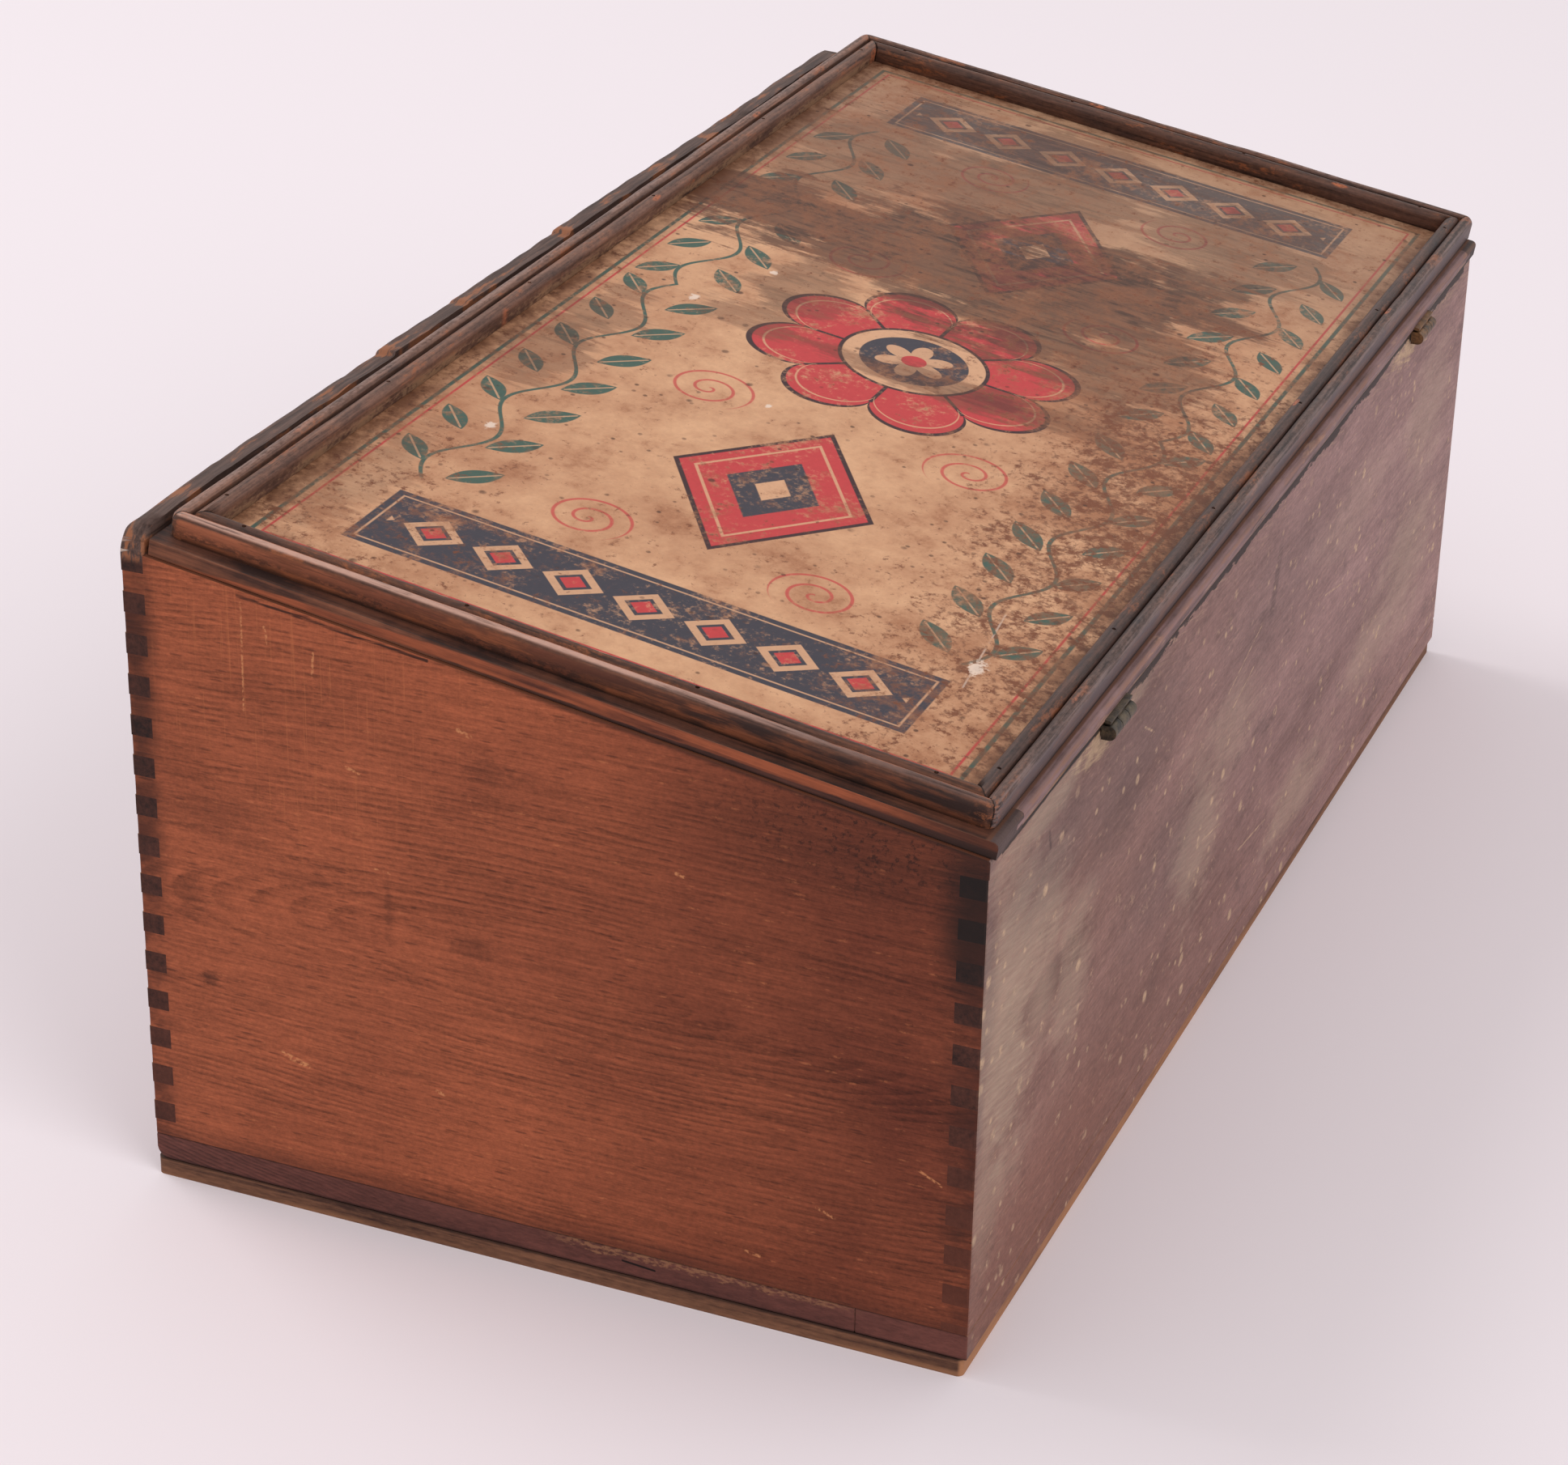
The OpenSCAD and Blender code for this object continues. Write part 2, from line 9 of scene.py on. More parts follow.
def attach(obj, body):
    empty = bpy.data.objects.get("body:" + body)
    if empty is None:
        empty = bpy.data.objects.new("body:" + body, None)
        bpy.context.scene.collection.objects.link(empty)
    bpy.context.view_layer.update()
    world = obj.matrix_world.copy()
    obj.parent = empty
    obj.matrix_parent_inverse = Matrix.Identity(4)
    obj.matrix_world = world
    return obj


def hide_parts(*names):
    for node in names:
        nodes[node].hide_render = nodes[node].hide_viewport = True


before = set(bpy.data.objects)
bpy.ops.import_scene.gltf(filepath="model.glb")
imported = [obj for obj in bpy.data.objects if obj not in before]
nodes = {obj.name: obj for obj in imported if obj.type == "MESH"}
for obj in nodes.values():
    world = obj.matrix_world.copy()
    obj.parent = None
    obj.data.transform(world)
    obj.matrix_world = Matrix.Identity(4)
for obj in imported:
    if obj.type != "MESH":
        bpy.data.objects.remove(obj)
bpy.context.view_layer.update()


# Sizes of the construction, in millimetres, read from the frame

def points_of(node):
    return [vert.co * 1000 for vert in nodes[node].data.vertices]


def corners(points):
    """Least and greatest coordinates."""
    return [Vector([pick(point[axis] for point in points) for axis in range(3)]) for pick in (min, max)]


def middle_x(node):
    low, high = corners(points_of(node))
    return (low.x + high.x) / 2


(_, _, WALL_Z), (FACE_X, FACE_Y, WALL_TOP) = corners(points_of("hinge_wall"))
LIP_TOP = corners(points_of("tall_wall"))[1].z

# The lid lies on the sloping tops of the end panels
rim_points = points_of("end_panel_near")
rim_end = max(rim_points, key=lambda point: point.z)
LOW_H = max(point.z for point in rim_points if abs(point.y - FACE_Y) < 0.02)
SLOPE = math.atan2(rim_end.z - LOW_H, FACE_Y - rim_end.y)
SIN, COS = math.sin(SLOPE), math.cos(SLOPE)


def to_lid(point):
    """In the lid's axes: u along the box, v down the slope, w out of the seat."""
    y, z = point.y - FACE_Y, point.z - LOW_H
    return Vector((point.x, y * COS - z * SIN, y * SIN + z * COS))


def from_lid(u, v, w):
    return Vector((u, FACE_Y + v * COS + w * SIN, LOW_H - v * SIN + w * COS))


def lid_corners(*names):
    return corners([to_lid(point) for node in names for point in points_of(node)])


(_, LID_V0, _), (LID_X, LID_V1, LID_W1) = lid_corners("lid_cleat_near")
(FRAME_U0, FRAME_V0, _), (FRAME_U1, FRAME_V1, FRAME_W1) = lid_corners(
    "moulding_near", "moulding_far", "moulding_hinge_side", "moulding_tall_side")
MOULD_H = FRAME_W1 - LID_W1
plate_low, plate_high = lid_corners("sign_plate")
PLATE_U, PLATE_V, _ = (plate_low + plate_high) / 2
PLATE_HALF_U, PLATE_HALF_V, _ = (plate_high - plate_low) / 2
PLATE_W, PLATE_T = plate_high.z, plate_high.z - plate_low.z


def rgb(red, green, blue):
    """A linear colour from 8-bit values."""
    def linear(value):
        value /= 255
        return value / 12.92 if value <= 0.04045 else ((value + 0.055) / 1.055) ** 2.4
    return (linear(red), linear(green), linear(blue), 1.0)


class Field:
    """A number over a surface: a socket with ordinary arithmetic."""

    def __init__(self, paint, socket):
        self.paint, self.socket = paint, socket

    def math(self, operation, *others):
        node = self.paint.add("ShaderNodeMath", operation=operation)
        self.paint.feed(node.inputs, (self,) + others)
        return Field(self.paint, node.outputs[0])

    def plain(operation):
        return lambda self, *others: self.math(operation, *others)

    __add__ = __radd__ = plain("ADD")
    __sub__ = plain("SUBTRACT")
    __mul__ = __rmul__ = plain("MULTIPLY")
    __truediv__ = plain("DIVIDE")
    size = plain("ABSOLUTE")
    least = plain("MINIMUM")
    most = plain("MAXIMUM")
    part = plain("FRACT")
    wave = plain("SINE")

    def __rsub__(self, other):
        return self * -1.0 + other

    def step(self, start, end):
        """Smooth change from 0 at start to 1 at end."""
        node = self.paint.add("ShaderNodeMapRange", interpolation_type="SMOOTHSTEP")
        self.paint.feed(node.inputs, (self, start, end))
        return Field(self.paint, node.outputs[0])

    def band(self, start, end, soft):
        """1 between start and end, 0 outside."""
        return self.step(start - soft, start + soft) * self.step(end + soft, end - soft)


def length(a, b):
    return (a * a + b * b).math("SQRT")


def around(middle, *parts):
    """A value pushed up and down by noises about 0.5, each with a weight."""
    for field, weight in parts:
        middle = middle + (field - 0.5) * weight
    return middle


class Paint:
    """A procedural material in the piece's own millimetres."""

    def __init__(self, name):
        self.material = bpy.data.materials.new(name)
        self.material.use_nodes = True
        self.tree = self.material.node_tree
        self.tree.nodes.clear()
        coords = self.add("ShaderNodeTexCoord")
        place = self.add("ShaderNodeVectorMath", operation="SCALE")
        self.wire(place, {"Vector": coords.outputs["Object"], "Scale": 1000})
        self.place = place.outputs[0]
        self.x, self.y, self.z = self.split(self.place)
        self.nx, self.ny, self.nz = self.split(coords.outputs["Normal"])

    def lid_axes(self):
        """Coordinates that lie along the sloping lid."""
        self.u = self.x
        self.v = (self.y - FACE_Y) * COS - (self.z - LOW_H) * SIN
        self.w = (self.y - FACE_Y) * SIN + (self.z - LOW_H) * COS

    def add(self, kind, **settings):
        node = self.tree.nodes.new(kind)
        for key, value in settings.items():
            setattr(node, key, value)
        return node

    def feed(self, sockets, values):
        for socket, value in zip(sockets, values):
            value = value.socket if isinstance(value, Field) else value
            if isinstance(value, bpy.types.NodeSocket):
                self.tree.links.new(value, socket)
            else:
                socket.default_value = value

    def wire(self, node, values):
        """Link or set a node's inputs by name."""
        self.feed([node.inputs[name] for name in values], values.values())

    def split(self, vector):
        node = self.add("ShaderNodeSeparateXYZ")
        self.feed(node.inputs, [vector])
        return [Field(self, out) for out in node.outputs]

    def spot_of(self, scale, seed, at):
        """Place to look a texture up at: scaled and moved by its seed."""
        source = self.place
        if at is not None:
            joined = self.add("ShaderNodeCombineXYZ")
            self.feed(joined.inputs, at)
            source = joined.outputs[0]
        node = self.add("ShaderNodeVectorMath", operation="MULTIPLY_ADD")
        self.feed(node.inputs, (source, scale, (seed * 7.31, seed * 3.77, seed * 5.19)))
        return node.outputs[0]

    def noise(self, scale, seed, detail=3.0, rough=0.55, at=None):
        """Noise about 0.5; scale is cycles per millimetre along each axis."""
        node = self.add("ShaderNodeTexNoise")
        place = self.spot_of(scale, seed, at)
        self.wire(node, {"Vector": place, "Scale": 1.0, "Detail": detail, "Roughness": rough})
        return Field(self, node.outputs[0])

    def specks(self, scale, seed, radius, share, at=None):
        """Scattered spots, one in some of the cells."""
        node = self.add("ShaderNodeTexVoronoi")
        self.wire(node, {"Vector": self.spot_of(scale, seed, at), "Scale": 1.0})
        chance = self.split(node.outputs["Color"])[0]
        kept = chance.math("LESS_THAN", share)
        return Field(self, node.outputs["Distance"]).step(radius, radius * 0.45) * kept

    def spot(self, a, b, centre, radii, edge=0.0, soft=0.45):
        """A blurred ellipse; edge is a field that makes its outline uneven."""
        far = length((a - centre[0]) / radii[0], (b - centre[1]) / radii[1]) + edge
        return far.step(1.0 + soft, 1.0 - soft)

    def spots(self, a, b, marks, edge, soft):
        """Several of them, each with a centre, radii and a strength."""
        return functools.reduce(Field.most, [
            self.spot(a, b, centre, radii, edge, soft) * strength for centre, radii, strength in marks])

    def stroke(self, a, b, start, end, half):
        """A straight scratch."""
        along = (end[0] - start[0], end[1] - start[1])
        span = along[0] ** 2 + along[1] ** 2
        t = (a - start[0]) * (along[0] / span) + (b - start[1]) * (along[1] / span)
        t = t.most(0.0).least(1.0)
        far = length(a - start[0] - t * along[0], b - start[1] - t * along[1])
        return far.step(half * 1.4, half * 0.5)

    def strokes(self, a, b, marks):
        """Several scratches, each with a start, an end and half a width."""
        return functools.reduce(Field.most, [self.stroke(a, b, *mark) for mark in marks])

    def mix(self, first, second, share):
        """Between two colours, each a socket or 8-bit values."""
        node = self.add("ShaderNodeMix", data_type="RGBA", clamp_factor=True)
        tints = [rgb(*tint) if isinstance(tint, tuple) else tint for tint in (first, second)]
        self.feed((node.inputs[0], node.inputs[6], node.inputs[7]), [share] + tints)
        return node.outputs[2]

    def over(self, tint, share):
        """Lay a colour over the paint's own colour so far."""
        self.colour = self.mix(self.colour, tint, share)

    def tone(self, colour, factor):
        """A colour made lighter or darker."""
        node = self.add("ShaderNodeVectorMath", operation="SCALE")
        self.wire(node, {"Vector": colour, "Scale": factor})
        return node.outputs[0]

    def done(self, rough, height, relief, metal=0.0, gloss=0.4):
        """Join the shader; relief is the bump's depth in millimetres."""
        bump = self.add("ShaderNodeBump")
        self.wire(bump, {"Strength": 1.0, "Distance": relief / 1000, "Height": height})
        shader = self.add("ShaderNodeBsdfPrincipled")
        self.wire(shader, {"Base Color": self.colour, "Roughness": rough, "Metallic": metal,
                           "Specular IOR Level": gloss, "Normal": bump.outputs[0]})
        self.wire(self.add("ShaderNodeOutputMaterial"), {"Surface": shader.outputs[0]})
        return self.material


# Wood

def rings(p, along, across, centre, seed, pitch, stretch=0.16, sway=30):
    """Year rings of a flat-sawn board, and its fibres."""
    flat = (along, across, along)
    bend = (p.noise((0.0045, 0.011, 0), seed, 2, at=flat) - 0.5) * sway
    far = length(across - centre[1] + bend, (along - centre[0]) * stretch)
    turn = p.noise((0.006, 0.045, 0), seed + 1, 3, at=flat) * 2.4
    late = (far / pitch + turn).part()
    late = late.step(0.25, 0.92) * late.step(1.0, 0.94)
    fibre = p.noise((0.014, 0.75, 0), seed + 2, 4, 0.6, at=flat)
    return late, fibre


def raw_wood(p, along, across, seed, pale=(176, 138, 98), dark=(128, 92, 60)):
    """Unpainted aged board."""
    late, fibre = rings(p, along, across, (30, 20), seed, 5.0)
    mottle = p.noise((0.02, 0.02, 0.02), seed + 4, 3)
    share = around(late * 0.4 + 0.35, (fibre, 0.9), (mottle, 0.7))
    return p.mix(pale, dark, share), late, fibre


# Marks on the near end, as y and z: dark spots with radii and strength, scratches with half a width
END_SPOTS = (((-16, 158), (6, 4), 0.3), ((-22, 102), (6, 4), 0.28), ((-104, 126), (18, 7), 0.22),
             ((-74, 112), (12, 4), 0.25), ((-112, 98), (4, 6), 0.3), ((-48, 108), (1.2, 8), 0.3))
END_CRACK = ((-92, 195.9), (-34, 187.6), 0.45)
END_GOUGE = ((-84, 52.3), (-76, 50), 0.9)
END_SCRATCHES = (((-25, 168.6), (-21.5, 167.3), 0.7), ((-91, 194), (-91.6, 161), 0.3),
                 ((-69, 183), (-69.5, 176), 0.4), ((112, 64), (119, 60.5), 0.4),
                 ((-84, 188), (-83, 183), 0.4), ((83, 44), (88, 42), 0.5), ((-34, 52), (-32, 51.5), 0.6),
                 ((40, 139), (42, 138.6), 0.6), ((62, 24), (66, 23.4), 0.5), ((-52, 120), (-47, 119.5), 0.3),
                 ((-60, 150), (-56, 149), 0.5))


def stained_end(p, marked):
    """Orange-brown face of an end panel."""
    y, z = p.y, p.z
    bend = around(0.0, (p.noise((0, 0.0045, 0.009), 3, 2), 30), (p.noise((0, 0.012, 0.05), 4, 3), 4))
    far = length(z - 101 + bend, (y - 8) * 0.15)
    ring = (far / 1.9).part()
    fade = p.noise((0, 0.009, 0.06), 5, 4, 0.6).step(0.36, 0.66)
    late = ring.step(0.2, 0.86) * ring.step(1.0, 0.9) * fade
    fibre = p.noise((0.2, 0.016, 0.6), 6, 5, 0.7)
    fine = p.noise((0.2, 0.06, 1.1), 8, 4, 0.72)
    grit = p.noise((0.9, 0.6, 0.9), 17, 3, 0.75)
    mottle = p.noise((0.01, 0.011, 0.018), 9, 4, 0.6)
    base = p.mix((154, 83, 55), (94, 45, 31), around(y.step(-90, 125) * 0.78, (mottle, 1.4)))
    p.colour = p.tone(base, around(1.05 - late * 0.3, (fibre, 1.0), (fine, 1.2), (grit, 1.0)))

    # Short pale and dark lines of the grain, and saw marks near the tall end
    dashes = p.specks((0, 0.1, 0.5), 18, 0.26, 0.5).most(p.specks((0, 0.2, 0.9), 19, 0.28, 0.5) * 0.8)
    p.over((206, 126, 82), dashes * grit.step(0.36, 0.6) * 0.3)
    pores = p.specks((0, 0.09, 0.6), 10, 0.26, 0.5).most(p.specks((0, 0.3, 0.55), 22, 0.2, 0.4))
    p.over((54, 25, 18), pores * fine.step(0.36, 0.56) * 0.5)
    sawn = p.spot(y, z, (-80, 165), (52, 40), (mottle - 0.5) * 1.6, 0.8)
    saw = p.noise((0.2, 1.1, 0.03), 16, 3, 0.6).step(0.56, 0.72) * sawn
    p.over((190, 112, 70), saw * 0.35)

    # Soot and dirt at the corners and edges, and painted shade along the lid's seat
    soot = p.spot(y, z, (98, 160), (44, 17), (mottle - 0.5) * 2.2, 0.8)
    dots = p.noise((0.2, 0.5, 0.6), 11, 4, 0.65).step(0.52, 0.66)
    p.over((46, 24, 19), soot * (dots * 0.5 + 0.38))
    black = p.spot(y, z, (126, 143), (10, 23), around(0.0, (fibre, 0.6), (mottle, 2.0)), 0.6)
    black = black.most(p.spot(y, z, (-125, 150), (6, 42), (mottle - 0.5) * 3.0, 0.6) * 0.7)
    p.over((32, 21, 18), black * 0.88)
    rim = (FACE_Y - y.size()).step(14, 1) * p.noise((0.05, 0.06, 0.09), 12, 4, 0.6).step(0.36, 0.66)
    p.over((56, 30, 24), rim * 0.75)
    foot = (z - WALL_Z).step(8, 0) * p.noise((0.05, 0.03, 0.1), 13, 4)
    p.over((64, 34, 28), foot * 0.9)
    # Painted shade: a dark line along the top edge, where the lid sits on the panel
    seat = ((z - LOW_H) * COS - (FACE_Y - y) * SIN).step(-1.6, -0.1)
    p.over((40, 23, 19), seat * (y.step(-60, 20) * 0.7 + 0.05))

    if marked:
        uneven = around(0.0, (fibre, 1.6), (grit, 1.2))
        dark = p.spot(y, z, (-107, 72), (2.6, 2.0), uneven, 0.7) * 0.55
        dark = dark.most(p.spots(y, z, END_SPOTS, uneven, 0.9))
        crack = p.stroke(y, z + (fibre - 0.5) * 2, *END_CRACK) * (fibre * 0.4 + fine * 0.6).step(0.36, 0.5)
        p.over((38, 21, 17), dark.most(crack * 0.9))
        pale = p.stroke(y, z, *END_GOUGE).most(p.strokes(y, z, END_SCRATCHES) * 0.8)
        broken = p.noise((0.3, 0.8, 0.8), 14, 3).step(0.42, 0.6)
        p.over((206, 138, 92), pale * broken * 0.85)
    chips = p.specks((0, 0.05, 0.08), 15, 0.09, 0.35)
    p.over((196, 122, 78), chips * grit.step(0.4, 0.6) * 0.8)
    height = late * -0.3 + fibre * 0.5 + fine * 0.5 - pores * 0.4
    return p.colour, height


# Marks on the low wall, as x and z; the tall wall has them mirrored
WORN_PATCHES = (((240, 110), (20, 40), 0.9), ((215, 122), (18, 16), 0.8), ((186, 92), (14, 20), 0.6),
                ((252, 55), (9, 20), 0.5), ((60, 74), (20, 26), 0.7), ((30, 96), (26, 14), 0.5),
                ((-197, 68), (34, 20), 0.7), ((-151, 52), (24, 14), 0.6), ((-61, 31), (30, 12), 0.7),
                ((-110, 118), (40, 12), 0.35), ((-214, 120), (26, 22), 0.6), ((212, 155), (26, 4.5), 0.9),
                ((140, 156), (14, 4), 0.7))
SMOKE_PATCHES = (((95, 83), (34, 20), 0.6), ((-10, 128), (60, 20), 0.5), ((258, 128), (6, 24), 0.8),
                 ((200, 140), (40, 16), 1.0))
WALL_SCRATCHES = (((127, 141), (117, 135), 0.4), ((60, 70), (36, 66), 0.3), ((-80, 98), (-104, 93), 0.35),
                  ((10, 44), (-22, 40), 0.35), ((36, 112), (2, 121), 0.35), ((30, 104), (8, 109), 0.35))


def faded_side(p, side):
    """Worn paint of a long wall; side is 1 for the low wall, -1 for the tall one."""
    x, z = p.x * side, p.z
    seed = 20 + side
    mottle = p.noise((0.006, 0.02, 0.018), seed, 5, 0.62)
    bands = p.noise((0.006, 0.05, 0.06), seed + 6, 5, 0.64)
    flaky = p.noise((0.09, 0.1, 0.11), seed + 1, 4, 0.66)
    streak = p.noise((0.016, 0.05, 0.55), seed + 2, 5, 0.68)
    slant = (x + z * 0.55, p.y, z - x * 0.22)
    scuff = p.noise((0.05, 0.05, 0.9), seed + 3, 4, 0.68, at=slant)
    fine = p.noise((0.1, 0.2, 1.0), seed + 4, 4, 0.72)
    grit = p.noise((0.45, 0.6, 0.6), seed + 5, 4, 0.75)
    away = x.step(220, -120)
    pale = p.mix((148, 110, 100), (164, 129, 125), away)
    deep = p.mix((98, 69, 62), (116, 87, 84), away)
    base = p.mix(pale, deep, around(0.46, (mottle, 1.6), (bands, 1.8), (streak, 1.4), (flaky, 0.6)))
    base = p.mix(base, (132, 90, 78), z.step(90, 16) * (0.55 - away * 0.4))

    # Where the paint is worn to pale wood
    edge = around(0.0, (mottle, 2.0), (bands, 3.0), (flaky, 1.4), (streak, 1.0), (scuff, 1.0))
    worn = p.spots(x, z, WORN_PATCHES, edge, 0.7)
    worn = worn.most(p.spot(x, z, (212, 98), (14, 16), edge * 0.25, 0.8) * 0.55)
    wood = p.mix((188, 164, 142), (140, 114, 100), around(0.42, (fine, 1.8), (scuff, 1.8), (grit, 1.4)))
    p.colour = p.mix(base, wood, worn * (0.75 - away * 0.2))
    rubbed = (WALL_TOP - z).step(14, 1) * (scuff * 0.5 + mottle * 0.5).step(0.5, 0.6)
    p.over((176, 146, 124), rubbed * 0.4)
    if side > 0:
        for pin in ("near_hinge_pin", "far_hinge_pin"):
            place = (middle_x(pin) + 4, 157)
            bare = p.spot(x, z, place, (19, 5), around(0.0, (scuff, 3.0), (flaky, 3.0)), 0.5)
            p.over((198, 168, 132), bare * 0.6)

    # Red, smoky and dirty patches, and two dents drawn as dark strokes of painted shade
    red = p.spot(x, z, (196, 24), (60, 20), edge * 0.4, 0.8)
    p.over((122, 76, 63), red * 0.4)
    smoke = p.spot(x, z, (138, 136), (44, 22), edge * 0.6, 0.8)
    smoke = smoke.most(p.spots(x, z, SMOKE_PATCHES, edge * 0.5, 0.8))
    p.over((84, 70, 71), smoke * 0.42)
    grime = p.noise((0.03, 0.05, 0.07), seed + 10, 5, 0.72).step(0.54, 0.74)
    # The dents have no hollow; their darkness is painted shade
    dent = p.stroke(x, z, (-15, 141), (-9, 120), 3.0) * streak.step(0.34, 0.56) * 0.5
    dent = dent.most(p.stroke(x, z, (212, 147), (210.5, 142), 0.9) * 0.6)
    p.over((76, 57, 56), (grime * (0.45 - worn * 0.35)).most(dent))

    # Pale flecks, scuffs and scratches
    crowd = p.noise((0.018, 0.02, 0.028), seed + 8, 3)
    flecks = p.specks((0.085, 0, 0.1), seed + 9, 0.24, 0.6)
    flecks = flecks.most(p.specks((0.16, 0, 0.19), seed + 11, 0.27, 0.55) * 0.9)
    flecks = flecks * (crowd * 0.9 + grit * 0.5).step(0.63, 0.78) * z.step(162, 132) * 0.85
    flecks = flecks.most((flaky * 0.7 + grit * 0.3).step(0.6, 0.68) * 0.4)
    scratch = p.strokes(x, z, WALL_SCRATCHES) * fine.step(0.38, 0.56) * 0.7
    lines = (scuff.step(0.6, 0.76) * 0.35).most(fine.step(0.58, 0.74) * 0.3)
    p.over((196, 164, 134), lines.most(flecks).most(scratch) * 0.85)
    p.colour = p.tone(p.colour, around(0.965, (fine, 1.0), (streak, 0.6), (grit, 0.8)))
    p.over((100, 88, 86), (FACE_X - x).step(7, 1) * mottle.step(0.38, 0.58) * 0.6)
    rim = (x + FACE_X).step(1.6, 0.4)
    p.over((214, 196, 182), rim * grit.step(0.36, 0.56) * 0.6)
    height = streak * 0.4 + fine * 0.5 + scuff * 0.3 + grit * 0.3 - grime * 0.2
    return p.colour, height


def end_grain(p, seed, pale, dark):
    """Rough sawn end of a board."""
    speck = p.noise((0.6, 0.6, 0.6), seed, 4, 0.7)
    broad = p.noise((0.05, 0.05, 0.1), seed + 1, 3)
    return p.mix(dark, pale, around(0.5, (speck, 2.0), (broad, 1.8))), speck


def end_panel_paint(name, sign):
    """An end panel: stained outside, faded on its narrow sides, raw inside."""
    p = Paint(name)
    face, height = stained_end(p, sign > 0)
    side, side_height = faded_side(p, 1)
    inner, _, _ = raw_wood(p, p.y, p.z, 40)
    top, _, _ = raw_wood(p, p.y, p.x, 44, (112, 66, 46), (70, 40, 30))
    outward = (p.nx * sign).step(0.3, 0.7)
    p.colour = p.mix(top, inner, (p.nx * -sign).step(0.3, 0.7))
    p.over(side, p.ny.size().step(0.45, 0.75))
    p.over(face, outward)
    height = height * outward + side_height * (1.0 - outward)
    return p.done(0.58, height, 0.16, gloss=0.16)


# Where the lip is torn, along the box
TORN_X = (110.5, 62.0, -13.0, -133.0)


def lip_skin(p):
    """Dark chewed lip, torn to orange at its notches; also its grain and its bare patches."""
    bare = p.noise((0.05, 0.3, 0.12), 58, 5, 0.65)
    grain = p.noise((0.02, 0.9, 0.9), 59, 5, 0.68)
    skin = p.mix((54, 40, 37), (108, 84, 76), around(0.52, (grain, 2.0), (bare, 1.6)))
    chewed = p.x.step(250, 262) * 0.6
    for place in TORN_X:
        chewed = chewed.most((p.x - place).size().step(6, 2))
    torn = (bare + p.nz.step(0.95, 0.4) * 0.04 + chewed * 0.14).step(0.56, 0.66)
    return p.mix(skin, (156, 98, 66), torn * 0.75), grain, bare


def wall_paint(name, side):
    """A long wall: faded outside, dark finger ends, raw inside."""
    p = Paint(name)
    low = side > 0
    face, height = faded_side(p, side)
    inner, _, _ = raw_wood(p, p.x, p.z, 50 + side)
    ends, speck = end_grain(p, 55, (86, 50, 40), (36, 22, 20))
    ends = p.mix(ends, (104, 54, 38), p.z.step(110, 20) * (0.55 if low else 0.25))
    ends = p.mix(ends, (26, 20, 19), p.z.step(100, 140) * (0.92 if low else 0.2))
    p.colour = p.mix(inner, ends, p.nx.size().step(0.5, 0.8))
    outward = (p.ny * side).step(0.35, 0.65)
    p.over(face, outward)
    if low:
        top, _, _ = raw_wood(p, p.x, p.y, 60, (84, 60, 48), (44, 30, 26))
        p.over(top, p.nz.step(0.5, 0.8))
        # Painted shadow: a dark ragged line along the top of the outer face, under the lid's low edge
        ragged = p.noise((0.05, 0.2, 0.2), 62, 5, 0.7)
        depth = WALL_TOP - p.z - 1.3 - (ragged - 0.34) * (p.x.step(190, 110) * 9.0 + 2.0)
        p.over((32, 22, 21), depth.step(0.3, -0.2) * outward * 0.9)
    else:
        skin, grain, bare = lip_skin(p)
        lip = (p.z - outward * (6.5 + (bare - 0.5) * 8)).step(199, 202)
        p.over(skin, lip)
        height = height + grain * lip
    return p.done(0.6, height + speck * 0.1, 0.18, gloss=0.16)


def bottom_paint():
    """Bottom boards: dark red-brown ends, faded sides, plain faces."""
    p = Paint("bottom boards")
    plain, _, _ = raw_wood(p, p.x, p.y, 70, (150, 108, 76), (98, 66, 46))
    slant = p.z * 2.6 + p.y * 0.55
    late = ((slant + p.noise((0, 0.03, 0.1), 72, 3) * 9) / 3.4).part().step(0.2, 0.9) * p.y.step(-20, -100)
    speck = p.noise((0.5, 0.3, 1.2), 73, 5, 0.65)
    broad = p.noise((0.02, 0.02, 0.1), 77, 4, 0.6)
    ends = p.mix((114, 68, 60), (56, 33, 30), around(late * 0.3 + 0.32, (speck, 1.2), (broad, 1.4)))
    ragged = (p.noise((0, 0.16, 0.3), 74, 5, 0.7) - 0.5) * 9
    torn = (p.z - 11.6 + ragged).step(-0.4, 0.8) * p.y.band(4, 92, 8)
    torn = torn * p.noise((0, 0.5, 1.2), 75, 4, 0.65).step(0.4, 0.58)
    ends = p.mix(ends, (150, 104, 76), torn * 0.7)
    split = p.stroke(p.y, p.z, (24, 10.4), (34, 9.6), 0.35)
    # A dark split, and painted shade along the joints at the lower and upper edges of the ends
    foot = p.z.step(7.0, 5.9).most(p.z.step(13.5, 14.1) * 0.8)
    ends = p.mix(ends, (22, 13, 12), split.most(foot * 0.7))
    side, _ = faded_side(p, 1)
    p.colour = p.mix(plain, side, p.ny.size().step(0.4, 0.7))
    p.over(ends, p.nx.size().step(0.4, 0.7))
    return p.done(0.62, speck * 0.7 + late * 0.2, 0.2, gloss=0.15)


